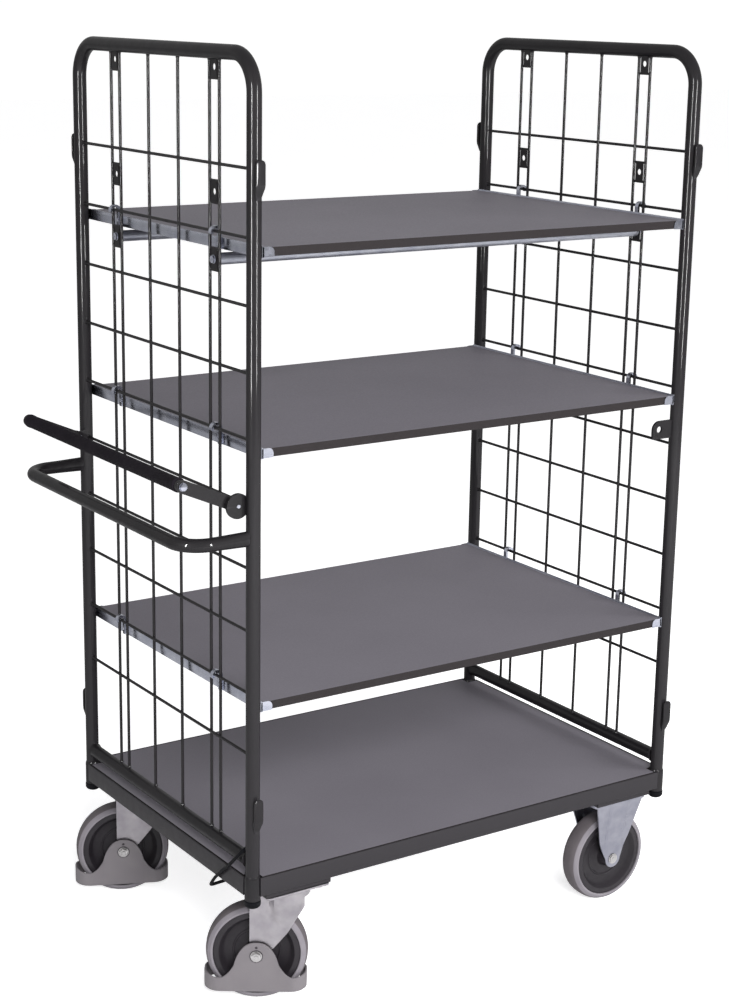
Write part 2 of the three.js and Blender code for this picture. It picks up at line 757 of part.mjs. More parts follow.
const FLAT_TO_CORNER = 1 / Math.cos(Math.PI / FINE);
const HUB_R = 85.5;
function tyre() {
  const tread = WHEEL_R * FLAT_TO_CORNER;
  const profile = [
    [HUB_R + 0.5, TYRE_HALF - 0.5],
    [tread - 8, TYRE_HALF - 2],
    [tread - 2, TYRE_HALF - 8],
    [tread, TYRE_HALF - 16],
  ];
  const other = [...profile].reverse().map(([r, h]) => [r, -h]);
  return wheelPiece([...profile, ...other]);
}

function hub(forkInner) {
  const profile = [
    [6.4, forkInner - 0.6],
    [20, forkInner - 0.6],
    [24, 8.5],
    [67, 8.5],
    [71, 20],
    [HUB_R, 20],
  ];
  const other = [...profile].reverse().map(([r, h]) => [r, -h]);
  return wheelPiece([...profile, ...other]);
}

// ---- brake cables ----
function cable(points) {
  const line = new THREE.CatmullRomCurve3(points.map((point) => new THREE.Vector3(...point)));
  const circle = new THREE.Shape().absarc(0, 0, CABLE_R, 0, 2 * Math.PI);
  return solid(
    new THREE.ExtrudeGeometry(circle, { steps: 24, extrudePath: line, curveSegments: 3 }),
  );
}

// Leaves the handle-end post, hangs in a loop outside the frame and enters the castor channel.
function leverCable() {
  return cable([
    [-POST_X - 11, -POST_Y + TUBE_R, DECK_TOP + 74],
    [-524, -327, DECK_TOP + 60],
    [-527, -318, DECK_TOP + 38],
    [-529, -284, DECK_TOP + 7],
    [-529, -238, DECK_TOP - 33],
    [-528, -216, DECK_TOP - 57],
    [-523, -209, DECK_TOP - 64],
    [-513, -216, DECK_TOP - 60],
    [-497, -232, DECK_TOP - 50],
    [-484, -239, CABLE_Z],
    [-470, -242, CABLE_Z],
    [-418, -280, CABLE_Z],
  ]);
}

// Runs on from the first castor to the second, inside the channel.
function linkCable() {
  return cable([
    [-412, -264, CABLE_Z],
    [-424, -200, CABLE_Z],
    [-424, 0, CABLE_Z],
    [-424, 200, CABLE_Z],
    [-412, 266, CABLE_Z],
  ]);
}

// ---- assembly ----
function addDeck(deck) {
  piece(deck, "deck_frame", ANTHRACITE, deckFrame());
  piece(deck, "deck_board", LAMINATE, deckBoard());
  const drilled = castorChannel(SWIVEL_X).subtract(cableHole(SWIVEL_X));
  piece(deck, "castor_channel_handle_end", ANTHRACITE, drilled);
  piece(deck, "castor_channel_fixed_end", ANTHRACITE, castorChannel(FIXED_X));
  for (const [end, sx] of SIDES) {
    for (const [flank, sy] of FLANKS) {
      const corner = group(deck, [sx * POST_X, sy * POST_Y, 0]);
      piece(corner, `corner_cap_${end}_${flank}`, BLACK_PLASTIC, cornerCap());
    }
  }
}

function addPanels(deck) {
  piece(deck, "handle_end_panel", ANTHRACITE, withEars(endPanel(-1)));
  piece(deck, "fixed_end_panel", ANTHRACITE, withLug(endPanel(1)));
  for (const [flank, sy] of FLANKS) {
    piece(deck, `strut_${flank}`, ZINC, strut(sy));
    for (const [end, sx] of SIDES) {
      piece(deck, `strut_screw_${end}_${flank}`, ZINC, strutScrew(sx, sy));
    }
  }
}

function addShelves(deck) {
  for (const [level, row] of Object.entries(SHELF_WIRE_ROWS)) {
    const top = LOWEST_WIRE + row * WIRE_PITCH - SHELF_BELOW_WIRE;
    piece(deck, `${level}_shelf_board`, LAMINATE, shelfBoard(top));
    for (const [end, sx] of SIDES) {
      piece(deck, `${level}_shelf_profile_${end}_end`, ZINC, shelfProfile(sx, top));
    }
  }
}

function addHandle(deck) {
  piece(deck, "push_handle", ANTHRACITE, pushHandle());
  const lever = group(deck, [-PIVOT_X, 0, PIVOT_Z]);
  lever.rotation.y = LEVER_ANGLE;
  piece(lever, "grip_tube", ANTHRACITE, gripTube());
  piece(lever, "grip_sleeve", SLEEVE_FOAM, gripSleeve());
  for (const [flank, sy] of FLANKS) {
    piece(lever, `lever_arm_${flank}`, ANTHRACITE, leverArm(sy));
    piece(lever, `grip_screw_${flank}`, ZINC, gripScrew(sy));
    piece(deck, `lever_pivot_pin_${flank}`, ZINC, pivotPin(sy));
  }
  piece(deck, "lever_brake_cable", BLACK_PLASTIC, leverCable());
  piece(deck, "link_brake_cable", BLACK_PLASTIC, linkCable());
}

function addWheel(castor, name, x, forkInner) {
  const wheel = group(castor, [x, 0, 0]);
  piece(wheel, `${name}_hub`, HUB_PLASTIC, hub(forkInner));
  piece(wheel, `${name}_tyre`, TYRE_RUBBER, tyre());
}

function addSwivelCastor(deck, flank, sy, heading) {
  const place = group(deck, [SWIVEL_X, sy * SWIVEL_Y, 0]);
  piece(place, `swivel_plate_${flank}`, FORK_ZINC, swivelPlate());
  const turning = group(place);
  turning.rotation.z = THREE.MathUtils.degToRad(heading);
  piece(turning, `ball_ring_${flank}`, ZINC, ballRing());
  piece(turning, `swivel_fork_${flank}`, FORK_ZINC, swivelFork());
  piece(turning, `foot_guard_${flank}`, GUARD_PLASTIC, footGuard());
  piece(turning, `swivel_axle_bolt_${flank}`, ZINC, axleBolt(TRAIL, GUARD_HALF, 8));
  piece(turning, `brake_shoe_${flank}`, BLACK_PLASTIC, brakeShoe());
  addWheel(turning, `swivel_wheel_${flank}`, TRAIL, FORK_INNER);
}

function addFixedCastor(deck, flank, sy) {
  const place = group(deck, [FIXED_X, sy * FIXED_Y, 0]);
  piece(place, `fixed_fork_${flank}`, FORK_ZINC, fixedFork());
  piece(place, `fixed_axle_bolt_${flank}`, ZINC, axleBolt(0, FIXED_FORK_OUTER, 4));
  addWheel(place, `fixed_wheel_${flank}`, 0, FIXED_FORK_OUTER - FIXED_FORK_WALL);
}

const trolley = new THREE.Group();
const deck = group(trolley);
addDeck(deck);
addPanels(deck);
addShelves(deck);
addHandle(deck);
addSwivelCastor(deck, "near", -1, NEAR_HEADING);
addSwivelCastor(deck, "far", 1, FAR_HEADING);
addFixedCastor(deck, "near", -1);
addFixedCastor(deck, "far", 1);

// Everything is placed from the middle of the deck, then the whole is centred on the origin.
const reach = new THREE.Box3().setFromObject(deck, true);
deck.position.x = -(reach.min.x + reach.max.x) / 2;
deck.position.y = -(reach.min.y + reach.max.y) / 2;

export default trolley;
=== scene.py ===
"""The looks of the shelf trolley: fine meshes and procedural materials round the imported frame.

Metres, in the frame of the CAD model. Places are read from the CAD nodes' boxes. Lengths below
are given in millimetres times MM.
"""
import json
import math

import bmesh
import bpy
from mathutils import Matrix, Vector
from mathutils.geometry import interpolate_bezier, tessellate_polygon

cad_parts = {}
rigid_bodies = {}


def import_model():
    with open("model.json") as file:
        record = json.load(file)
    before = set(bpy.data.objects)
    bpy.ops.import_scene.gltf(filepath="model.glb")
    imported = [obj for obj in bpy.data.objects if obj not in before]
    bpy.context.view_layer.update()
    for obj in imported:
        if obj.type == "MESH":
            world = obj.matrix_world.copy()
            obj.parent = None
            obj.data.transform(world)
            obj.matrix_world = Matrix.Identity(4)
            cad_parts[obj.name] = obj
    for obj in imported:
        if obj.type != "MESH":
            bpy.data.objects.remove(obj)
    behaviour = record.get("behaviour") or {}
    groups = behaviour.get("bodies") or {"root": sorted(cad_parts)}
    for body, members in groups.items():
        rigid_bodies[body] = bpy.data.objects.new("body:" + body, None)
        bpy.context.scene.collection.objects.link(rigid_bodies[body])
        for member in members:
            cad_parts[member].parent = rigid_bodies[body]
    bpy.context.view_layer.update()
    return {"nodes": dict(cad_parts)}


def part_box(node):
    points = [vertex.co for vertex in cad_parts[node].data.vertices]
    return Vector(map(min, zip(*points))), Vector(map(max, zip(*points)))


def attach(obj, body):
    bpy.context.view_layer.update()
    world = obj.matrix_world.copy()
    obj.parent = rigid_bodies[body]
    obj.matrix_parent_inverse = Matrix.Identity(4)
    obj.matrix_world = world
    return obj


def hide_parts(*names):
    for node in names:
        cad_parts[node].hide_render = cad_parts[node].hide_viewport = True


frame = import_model()
NODES = frame["nodes"]
MM = 0.001
X, Y, Z = Vector((1, 0, 0)), Vector((0, 1, 0)), Vector((0, 0, 1))
ENDS = {"handle": -1, "fixed": 1}
FLANKS = {"near": -1, "far": 1}
LEVELS = ("lower", "middle", "upper")


# ---- places, read from the CAD nodes ----
def middle(node):
    low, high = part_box(node)
    return (low + high) / 2


def with_z(point, z):
    return Vector((point.x, point.y, z))


POSTS = {(e, f): middle(f"corner_cap_{e}_{f}") for e in ENDS for f in FLANKS}
CENTRE = sum(POSTS.values(), Vector()) / len(POSTS)
DECK_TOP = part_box("deck_board")[1].z
TUBE_R = 13.5 * MM
TOP_TUBE_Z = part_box("fixed_end_panel")[1].z - TUBE_R
LOW_TUBE_Z = DECK_TOP + 30 * MM
PANEL_BEND = 66 * MM
BOARD_TOP = {level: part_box(f"{level}_shelf_board")[1].z for level in LEVELS}
WIRE_ABOVE_BOARD = 15 * MM
WIRE_PITCH = (BOARD_TOP["upper"] - BOARD_TOP["lower"]) / 7
LOWEST_WIRE = BOARD_TOP["lower"] + WIRE_ABOVE_BOARD - WIRE_PITCH
WIRE_ROWS = 10
WIRE_R = 3 * MM
STRUT_Y = middle("strut_far").y - CENTRE.y
STRUT_Z = middle("strut_far").z
PLATE_HEIGHTS = (DECK_TOP + 1488 * MM, DECK_TOP + 1270 * MM, STRUT_Z)
HOOK_HEIGHTS = (DECK_TOP + 93 * MM, DECK_TOP + 1268 * MM)
PAIR_HALF = 17.5 * MM  # half the distance between the two wires of a pair
WIRE_INSET = 5 * MM


# ---- meshes ----
class Shape:
    """Points and faces of one piece, gathered from closed solids."""

    def __init__(self):
        self.points = []
        self.faces = []

    def add(self, points, faces):
        start = len(self.points)
        self.points += points
        self.faces += [[start + i for i in face] for face in faces]

    def skin(self, rings, loop=False):
        """Joins closed rings of points, one after the other, and closes both ends or the loop."""
        size, count = len(rings[0]), len(rings)
        faces = []
        for i in range(count if loop else count - 1):
            here, after = i * size, (i + 1) % count * size
            for j in range(size):
                k = (j + 1) % size
                faces.append([here + j, here + k, after + k, after + j])
        if not loop:
            faces.append(list(range(size)))
            faces.append(list(range((count - 1) * size, count * size)))
        self.add([point for ring in rings for point in ring], faces)

    def sweep(self, line, radius, facets, up=None, flatten=None):
        """Carries a circle along (point, direction) stations; flatten gives (wide, tall) by station."""
        previous = line[0][1]
        side = previous.orthogonal().normalized()
        rings = []
        for i, (point, along) in enumerate(line):
            side.rotate(previous.rotation_difference(along))
            previous = along
            across = along.cross(up) if up else side
            tall = along.cross(across)
            wide, high = flatten[i] if flatten else (1, 1)
            rings.append(
                [
                    point + across * (radius * wide * c) + tall * (radius * high * s)
                    for c, s in circle(facets)
                ]
            )
        self.skin(rings)

    def bar(self, start, end, radius, facets=32, flare=0):
        """A round bar; flare widens both ends over the same length, as a weld fillet does."""
        along = (end - start).normalized()
        stations = [(0, flare), (0.35, flare * 0.45), (1, 0.12 * flare), (1.4, 0)]
        offsets = [(share * flare * 2.2, extra) for share, extra in stations] if flare else [(0, 0)]
        first = [(start + along * reach, extra) for reach, extra in offsets]
        last = [(end - along * reach, extra) for reach, extra in reversed(offsets)]
        side = along.orthogonal().normalized()
        other = along.cross(side)
        rings = [
            [p + (side * c + other * s) * (radius + extra) for c, s in circle(facets)]
            for p, extra in first + last
        ]
        self.skin(rings)

    def turned(self, profile, origin, axis, facets=64):
        """Turns a closed profile of (radius, height) pairs about an axis through the origin."""
        side = axis.orthogonal().normalized()
        other = axis.cross(side)
        rings = [
            [origin + axis * h + (side * c + other * s) * r for r, h in profile]
            for c, s in circle(facets)
        ]
        self.skin(rings, loop=True)

    def plate(self, outline, place, thickness, holes=()):
        """An outline in the place's x and y, thickened both ways along its z, with holes."""
        loops = [outline, *holes]
        flat = [Vector((a, b, 0)) for loop in loops for a, b in loop]
        half = Vector((0, 0, thickness / 2))
        count = len(flat)
        faces = []
        for triangle in tessellate_polygon([[Vector((a, b, 0)) for a, b in loop] for loop in loops]):
            faces.append(list(triangle))
            faces.append([i + count for i in triangle])
        start = 0
        for loop in loops:
            size = len(loop)
            for j in range(size):
                a, b = start + j, start + (j + 1) % size
                faces.append([a, b, b + count, a + count])
            start += size
        self.add([place @ (p - half) for p in flat] + [place @ (p + half) for p in flat], faces)



def circle(facets):
    """Cosine and sine of each facet corner."""
    turns = [2 * math.pi * i / facets for i in range(facets)]
    return [(math.cos(t), math.sin(t)) for t in turns]


def round_hole(x, y, radius, facets=28):
    return [(x + radius * c, y + radius * s) for c, s in circle(facets)]


def rounded(corners, steps=6):
    """A closed outline through (x, y, radius) corners, each corner rounded by its radius."""
    points = []
    for i, (x, y, radius) in enumerate(corners):
        here = Vector((x, y))
        if not radius:
            points.append((x, y))
            continue
        before = (Vector(corners[i - 1][:2]) - here).normalized()
        after = (Vector(corners[(i + 1) % len(corners)][:2]) - here).normalized()
        half = before.angle(after) / 2
        centre = here + (before + after).normalized() * (radius / math.sin(half))
        reach = radius / math.tan(half)
        first = (here + before * reach - centre).normalized()
        last = (here + after * reach - centre).normalized()
        for step in range(steps + 1):
            point = centre + first.slerp(last, step / steps) * radius
            points.append((point.x, point.y))
    return points


def placed(origin, across, up):
    """The matrix that puts an outline's x and y along two directions."""
    normal = across.cross(up)
    return Matrix.Translation(origin) @ Matrix((across, up, normal)).transposed().to_4x4()


def bent_line(corners, bend, steps=12):
    """Stations (point, direction) along straight stretches joined by arcs."""
    line = [(corners[0], (corners[1] - corners[0]).normalized())]
    for a, b, c in zip(corners, corners[1:], corners[2:]):
        before, after = (b - a).normalized(), (c - b).normalized()
        turn = before.angle(after)
        start = b - before * (bend * math.tan(turn / 2))
        side = (after - before * math.cos(turn)).normalized()
        for step in range(steps + 1):
            t = turn * step / steps
            at = start + before * (bend * math.sin(t)) + side * (bend * (1 - math.cos(t)))
            line.append((at, before * math.cos(t) + side * math.sin(t)))
    line.append((corners[-1], (corners[-1] - corners[-2]).normalized()))
    return line


def between(table, value):
    """Reads a list of (value, result) pairs, in rising order, with straight lines between them."""
    if value <= table[0][0]:
        return table[0][1]
    for (v0, r0), (v1, r1) in zip(table, table[1:]):
        if value <= v1:
            return r0 + (r1 - r0) * (value - v0) / (v1 - v0)
    return table[-1][1]


def finish_mesh(obj, bevel, smooth_angle=35):
    if bevel:
        edges = obj.modifiers.new("edges", "BEVEL")
        edges.width = bevel
        edges.segments = 3
        edges.limit_method = "ANGLE"
        edges.angle_limit = math.radians(40)
        edges.harden_normals = True
    obj.data.shade_smooth()
    obj.data.set_sharp_from_angle(angle=math.radians(smooth_angle))


def make(name, shape, material, body, replaces=(), bevel=0):
    """One finished piece from a shape."""
    mesh = bpy.data.meshes.new(name)
    mesh.from_pydata([tuple(p) for p in shape.points], [], shape.faces)
    clean = bmesh.new()
    clean.from_mesh(mesh)
    bmesh.ops.remove_doubles(clean, verts=clean.verts, dist=1e-6)
    bmesh.ops.recalc_face_normals(clean, faces=clean.faces)
    clean.to_mesh(mesh)
    clean.free()
    obj = bpy.data.objects.new(name, mesh)
    bpy.context.scene.collection.objects.link(obj)
    mesh.materials.append(material)
    finish_mesh(obj, bevel)
    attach(obj, body)
    if replaces:
        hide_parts(*replaces)
    return obj


def keep(node, material, bevel=0, smooth_angle=35):
    """A CAD node that stays as it is, with rounded edges and a finish."""
    obj = NODES[node]
    obj.data.materials.clear()
    obj.data.materials.append(material)
    finish_mesh(obj, bevel, smooth_angle)
    return obj


# ---- materials ----
def linear(red, green, blue):
    """A screen colour of 0 to 255 as linear light."""

    def channel(value):
        share = value / 255
        return share / 12.92 if share <= 0.04045 else ((share + 0.055) / 1.055) ** 2.4

    return (channel(red), channel(green), channel(blue), 1)


class Finish:
    """A material under construction: a Principled shader with inputs fed by other nodes."""

    def __init__(self, name, colour, roughness, metallic=0.0, coat=0.0):
        self.material = bpy.data.materials.new(name)
        self.material.use_nodes = True
        self.tree = self.material.node_tree
        self.shader = self.tree.nodes["Principled BSDF"]
        self.shader.inputs["Base Color"].default_value = linear(*colour)
        self.shader.inputs["Roughness"].default_value = roughness
        self.shader.inputs["Metallic"].default_value = metallic
        self.shader.inputs["Coat Weight"].default_value = coat
        self.shader.inputs["Coat Roughness"].default_value = 0.08
        self.place = self.tree.nodes.new("ShaderNodeTexCoord").outputs["Object"]

    def node(self, kind, **settings):
        made = self.tree.nodes.new(kind)
        for key, value in settings.items():
            setattr(made, key, value)
        return made

    def link(self, output, target):
        self.tree.links.new(output, target)

    def stretched(self, stretch):
        """Object coordinates, scaled differently along each axis."""
        mapping = self.node("ShaderNodeMapping")
        self.link(self.place, mapping.inputs["Vector"])
        mapping.inputs["Scale"].default_value = stretch
        return mapping.outputs["Vector"]

    def noise(self, size, detail=3.0, stretch=(1, 1, 1)):
        """Cloudy noise with features of the given size."""
        made = self.node("ShaderNodeTexNoise")
        self.link(self.stretched(stretch), made.inputs["Vector"])
        made.inputs["Scale"].default_value = 1 / size
        made.inputs["Detail"].default_value = detail
        return made.outputs["Fac"]

    def levels(self, value, low, high):
        """Stretches a noise value's middle range to low..high."""
        made = self.node("ShaderNodeMapRange")
        made.inputs["From Min"].default_value = 0.3
        made.inputs["From Max"].default_value = 0.7
        made.inputs["To Min"].default_value = low
        made.inputs["To Max"].default_value = high
        self.link(value, made.inputs["Value"])
        return made.outputs["Result"]

    def mix(self, share, first, second):
        """A blend of two colours, either given as colours or as outputs."""
        made = self.node("ShaderNodeMix", data_type="RGBA")
        if isinstance(share, float):
            made.inputs["Factor"].default_value = share
        else:
            self.link(share, made.inputs["Factor"])
        for colour, socket in ((first, made.inputs["A"]), (second, made.inputs["B"])):
            if isinstance(colour, tuple):
                socket.default_value = linear(*colour)
            else:
                self.link(colour, socket)
        return made.outputs["Result"]

    def colour(self, output):
        self.link(output, self.shader.inputs["Base Color"])

    def roughness(self, output):
        self.link(output, self.shader.inputs["Roughness"])

    def bump(self, height, depth):
        made = self.node("ShaderNodeBump")
        made.inputs["Strength"].default_value = 1
        made.inputs["Distance"].default_value = depth
        self.link(height, made.inputs["Height"])
        self.link(made.outputs["Normal"], self.shader.inputs["Normal"])

    def painted_edge_highlight(self, base, edge):
        """Painted highlight: lighter along the outer edges, as if light caught them."""
        geometry = self.node("ShaderNodeNewGeometry")
        edges = self.node("ShaderNodeMapRange")
        edges.inputs["From Min"].default_value = 0.53
        edges.inputs["From Max"].default_value = 0.62
        self.link(geometry.outputs["Pointiness"], edges.inputs["Value"])
        return self.mix(edges.outputs["Result"], base, edge)


def powder_coat():
    """Semi-gloss anthracite coating with a fine orange peel."""
    made = Finish("anthracite_coat", (24, 22, 24), 0.5, coat=0.28)
    made.shader.inputs["Specular IOR Level"].default_value = 0.06
    patches = made.levels(made.noise(0.12), 0.0, 1.0)
    # the outer edges turn lighter: a painted edge highlight
    made.colour(made.painted_edge_highlight(made.mix(patches, (21, 20, 22), (26, 24, 26)), (40, 38, 41)))
    made.roughness(made.levels(made.noise(0.02), 0.5, 0.62))
    made.bump(made.noise(0.0016, 2.0), 0.00006)
    return made.material


def laminate():
    """Matt grey board face with a fine fleck, and a darker edge band."""
    made = Finish("laminate", (108, 105, 112), 0.6)
    made.shader.inputs["Specular IOR Level"].default_value = 0.12
    fleck = made.levels(made.noise(0.0022, 4.0), 0.0, 1.0)
    broad = made.levels(made.noise(0.25, 2.0), 0.0, 1.0)
    face = made.mix(broad, (105, 102, 109), (111, 108, 115))
    face = made.mix(0.35, face, made.mix(fleck, (99, 96, 103), (117, 114, 121)))
    geometry = made.node("ShaderNodeNewGeometry")
    facing = made.node("ShaderNodeSeparateXYZ")
    made.link(geometry.outputs["Normal"], facing.inputs["Vector"])
    upright = made.node("ShaderNodeMath", operation="ABSOLUTE")
    made.link(facing.outputs["Z"], upright.inputs[0])
    is_face = made.node("ShaderNodeMath", operation="GREATER_THAN")
    made.link(upright.outputs["Value"], is_face.inputs[0])
    is_face.inputs[1].default_value = 0.75
    band = made.mix(fleck, (36, 33, 34), (42, 39, 40))
    made.colour(made.mix(is_face.outputs["Value"], band, face))
    made.roughness(made.levels(made.noise(0.004), 0.56, 0.68))
    made.bump(made.noise(0.0011, 3.0), 0.00004)
    return made.material


def zinc(name, colour, shade, roughness, grain):
    """Plated steel: cloudy plating, fine drawn grain along the given stretch."""
    made = Finish(name, colour, roughness, metallic=1.0)
    clouds = made.levels(made.noise(0.03, 4.0), 0.0, 1.0)
    made.colour(made.mix(clouds, colour, shade))
    made.roughness(made.levels(made.noise(0.012, 4.0, grain), roughness - 0.07, roughness + 0.09))
    made.bump(made.noise(0.003, 3.0, grain), 0.00005)
    return made.material


def moulded(name, colour, darker, roughness, grain_size, depth, shine=0.4):
    """Plastic or rubber with a fine moulded grain and slight blotches."""
    made = Finish(name, colour, roughness)
    made.shader.inputs["Specular IOR Level"].default_value = shine
    blotches = made.levels(made.noise(0.04), 0.0, 1.0)
    # the outer edges turn lighter than the body colour: a painted edge highlight
    made.colour(made.painted_edge_highlight(made.mix(blotches, darker, colour), tuple(c + 12 for c in colour)))
    made.roughness(made.levels(made.noise(0.01), roughness - 0.06, roughness + 0.08))
    made.bump(made.noise(grain_size, 3.0), depth)
    return made.material


COAT = powder_coat()
LAMINATE = laminate()
ALONG_X, ALONG_Y, EVEN = (0.05, 1, 1), (1, 0.05, 1), (1, 1, 1)
BRIGHT_ZINC = zinc("bright_zinc", (184, 186, 196), (158, 161, 175), 0.24, ALONG_Y)
STRUT_ZINC = zinc("strut_zinc", (178, 180, 188), (154, 157, 168), 0.5, ALONG_X)
FORK_ZINC = zinc("fork_zinc", (178, 174, 178), (158, 154, 160), 0.42, EVEN)
PLATE_ZINC = zinc("plate_zinc", (164, 164, 174), (144, 145, 157), 0.34, EVEN)
BOLT_ZINC = zinc("bolt_zinc", (206, 204, 204), (182, 180, 180), 0.3, EVEN)
BLACK_PLASTIC = moulded("black_plastic", (10, 10, 14), (7, 7, 10), 0.55, 0.002, 0.00005, 0.1)
FOAM = moulded("sleeve_foam", (24, 20, 26), (18, 15, 20), 0.78, 0.0012, 0.00012, 0.12)
TYRE_RUBBER = moulded("tyre_rubber", (120, 116, 121), (110, 106, 112), 0.66, 0.0015, 0.00008)
# a darker copy of the tyre rubber for the tread: painted shade
TREAD_RUBBER_PAINTED_SHADE = moulded("tread_rubber_painted_shade", (90, 85, 88), (82, 77, 80), 0.78, 0.0015, 0.0001)
HUB_PLASTIC = moulded("hub_plastic", (34, 31, 35), (28, 25, 29), 0.5, 0.002, 0.00005)
GUARD_PLASTIC = moulded("guard_plastic", (102, 98, 101), (94, 90, 94), 0.5, 0.0018, 0.00008)


# ---- shared details ----
def hexagon(shape, face, axis, across_flats, height):
    """A bolt head standing on a face, with chamfered corners."""
    radius = across_flats / math.sqrt(3)
    side = axis.orthogonal().normalized()
    other = axis.cross(side)
    levels = [(0, 1), (height * 0.82, 1), (height, 0.84)]
    rings = [
        [face + axis * h + (side * c + other * s) * (radius * wide) for c, s in circle(6)]
        for h, wide in levels
    ]
    shape.skin(rings)


def washer(shape, face, axis, radius, height):
    edge = height * 0.35
    profile = [(0, 0), (radius, 0), (radius, height - edge), (radius - edge, height), (0, height)]
    shape.turned(profile, face, axis, 40)


def soft_rectangle(half_x, half_y, corner, steps=8):
    corners = ((-half_x, -half_y), (half_x, -half_y), (half_x, half_y), (-half_x, half_y))
    return rounded([(x, y, corner) for x, y in corners], steps)


# ---- deck ----
RAIL_HEIGHT = 38 * MM
RAIL_WALL = 3 * MM
RAIL_FLANGE = 22 * MM
SLEEVE_R = 15.3 * MM
SLEEVE_DROP = 47 * MM


def board_thickness():
    low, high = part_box("deck_board")
    return high.z - low.z


def rail(shape, start, end, out):
    """One rolled rail: outer wall, ledge under the board, bottom flange, with round bends."""
    seat = -board_thickness() - 0.3 * MM
    wall, depth = RAIL_WALL, -RAIL_HEIGHT
    half_round = wall / 2
    outline = rounded(
        [
            (0, 0, half_round),
            (-wall, 0, half_round),
            (-wall, seat, 0.4 * MM),
            (-RAIL_FLANGE, seat, 0.4 * MM),
            (-RAIL_FLANGE, seat - wall, 0.4 * MM),
            (-wall, seat - wall, 0.8 * MM),
            (-wall, depth + wall, 1.5 * MM),
            (-RAIL_FLANGE, depth + wall, 0.4 * MM),
            (-RAIL_FLANGE, depth, 0.4 * MM),
            (0, depth, half_round),
        ],
        4,
    )
    place = placed((start + end) / 2, out, Z)
    shape.plate(outline, place, (end - start).length)


def deck_frame():
    low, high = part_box("deck_frame")
    corner, across, along = POSTS["handle", "near"], POSTS["handle", "far"], POSTS["fixed", "near"]
    inset = SLEEVE_R * 0.6
    shape = Shape()
    for sign, edge in ((-1, low), (1, high)):
        start = Vector((edge.x, corner.y + inset, DECK_TOP))
        end = Vector((edge.x, across.y - inset, DECK_TOP))
        rail(shape, start, end, X * sign)
        start = Vector((corner.x + inset, edge.y, DECK_TOP))
        end = Vector((along.x - inset, edge.y, DECK_TOP))
        rail(shape, start, end, Y * sign)
    for post in POSTS.values():
        sleeve(shape, post)
    make("deck_frame_rails", shape, COAT, "frame", ["deck_frame"])


def sleeve(shape, post):
    """The short tube at a corner that takes an end panel's post."""
    bore, lip, top = TUBE_R + 0.3 * MM, MM, 2 * MM
    profile = [
        (bore, -SLEEVE_DROP),
        (SLEEVE_R - lip, -SLEEVE_DROP),
        (SLEEVE_R, lip - SLEEVE_DROP),
        (SLEEVE_R, -top),
        (SLEEVE_R - 0.6 * lip, 0),
        (bore + 0.2 * lip, top),
        (bore, top),
    ]
    shape.turned(profile, with_z(post, DECK_TOP), Z)


def corner_caps():
    for (end, flank), post in POSTS.items():
        node = f"corner_cap_{end}_{flank}"
        low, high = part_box(node)
        radius, tall = (high.x - low.x) / 2, high.z - low.z
        dome = 9 * MM
        arc = [(radius * math.sin(a), dome * (1 - math.cos(a))) for a in quarter_turns(10)]
        profile = arc + [(radius, tall - MM), (radius - MM, tall), (0, tall)]
        shape = Shape()
        shape.turned(profile, with_z(post, low.z), Z)
        make(f"{node}_plug", shape, BLACK_PLASTIC, "frame", [node])


def quarter_turns(steps):
    return [math.pi / 2 * i / steps for i in range(steps + 1)]


# ---- end panels ----
def strut_plate_outline():
    """Reaches both wires, with concave corners where it runs into them."""
    half, tall, fillet = PAIR_HALF, 17 * MM, 5 * MM
    quarter = [(half, tall + fillet)]
    for a in quarter_turns(5):
        x = half - WIRE_R + MM - fillet * (1 - math.cos(a))
        quarter.append((x, tall + fillet * (1 - math.sin(a))))
    right = quarter + [(x, -y) for x, y in reversed(quarter)]
    left = [(-x, y) for x, y in right]
    return right + left[::-1]


def post_hook(shape, post, out, low):
    """A pressed hook welded to a post: it leans out and widens to a free tongue with a round top."""
    face, proud, thick = TUBE_R - 0.5 * MM, 6 * MM, 5 * MM
    across = out.cross(Z)
    # height, inner and outer distance from the post's axis, and half width, from the weld up
    stations = [
        (0, face, face + 1.6 * MM, 3.5 * MM),
        (7 * MM, face, face + 4.5 * MM, 6.5 * MM),
        (16 * MM, face, face + proud + 1.5 * MM, 8.4 * MM),
        (22 * MM, face + 2.5 * MM, face + proud + 4 * MM, 9.4 * MM),
        (28 * MM, face + proud, face + proud + thick, 9.6 * MM),
        (62 * MM, face + proud, face + proud + thick, 9.6 * MM),
        (66.5 * MM, face + proud + 0.2 * MM, face + proud + thick - 0.4 * MM, 8.4 * MM),
        (69 * MM, face + proud + 0.9 * MM, face + proud + thick - 1.1 * MM, 5.6 * MM),
        (70 * MM, face + proud + 1.8 * MM, face + proud + thick - 2 * MM, 2.5 * MM),
    ]
    rings = []
    for height, inner, outer, half in stations:
        corner = min(1.6 * MM, (outer - inner) * 0.4)
        corners = ((-half, inner), (half, inner), (half, outer), (-half, outer))
        section = rounded([(across_it, out_from, corner) for across_it, out_from in corners], 3)
        base = with_z(post, low + height)
        rings.append([base + across * a + out * b for a, b in section])
    shape.skin(rings)


def panel_tube(shape, near, far):
    """The hoop of tube and the straight tube across its foot."""
    foot = DECK_TOP - SLEEVE_DROP + MM
    hoop = [with_z(near, foot), with_z(near, TOP_TUBE_Z), with_z(far, TOP_TUBE_Z), with_z(far, foot)]
    shape.sweep(bent_line(hoop, PANEL_BEND, 16), TUBE_R, 40)
    inward = Y * (TUBE_R * 0.92)
    start, end = with_z(near, LOW_TUBE_Z) + inward, with_z(far, LOW_TUBE_Z) - inward
    shape.bar(start, end, TUBE_R * 0.98, 40, flare=2.2 * MM)


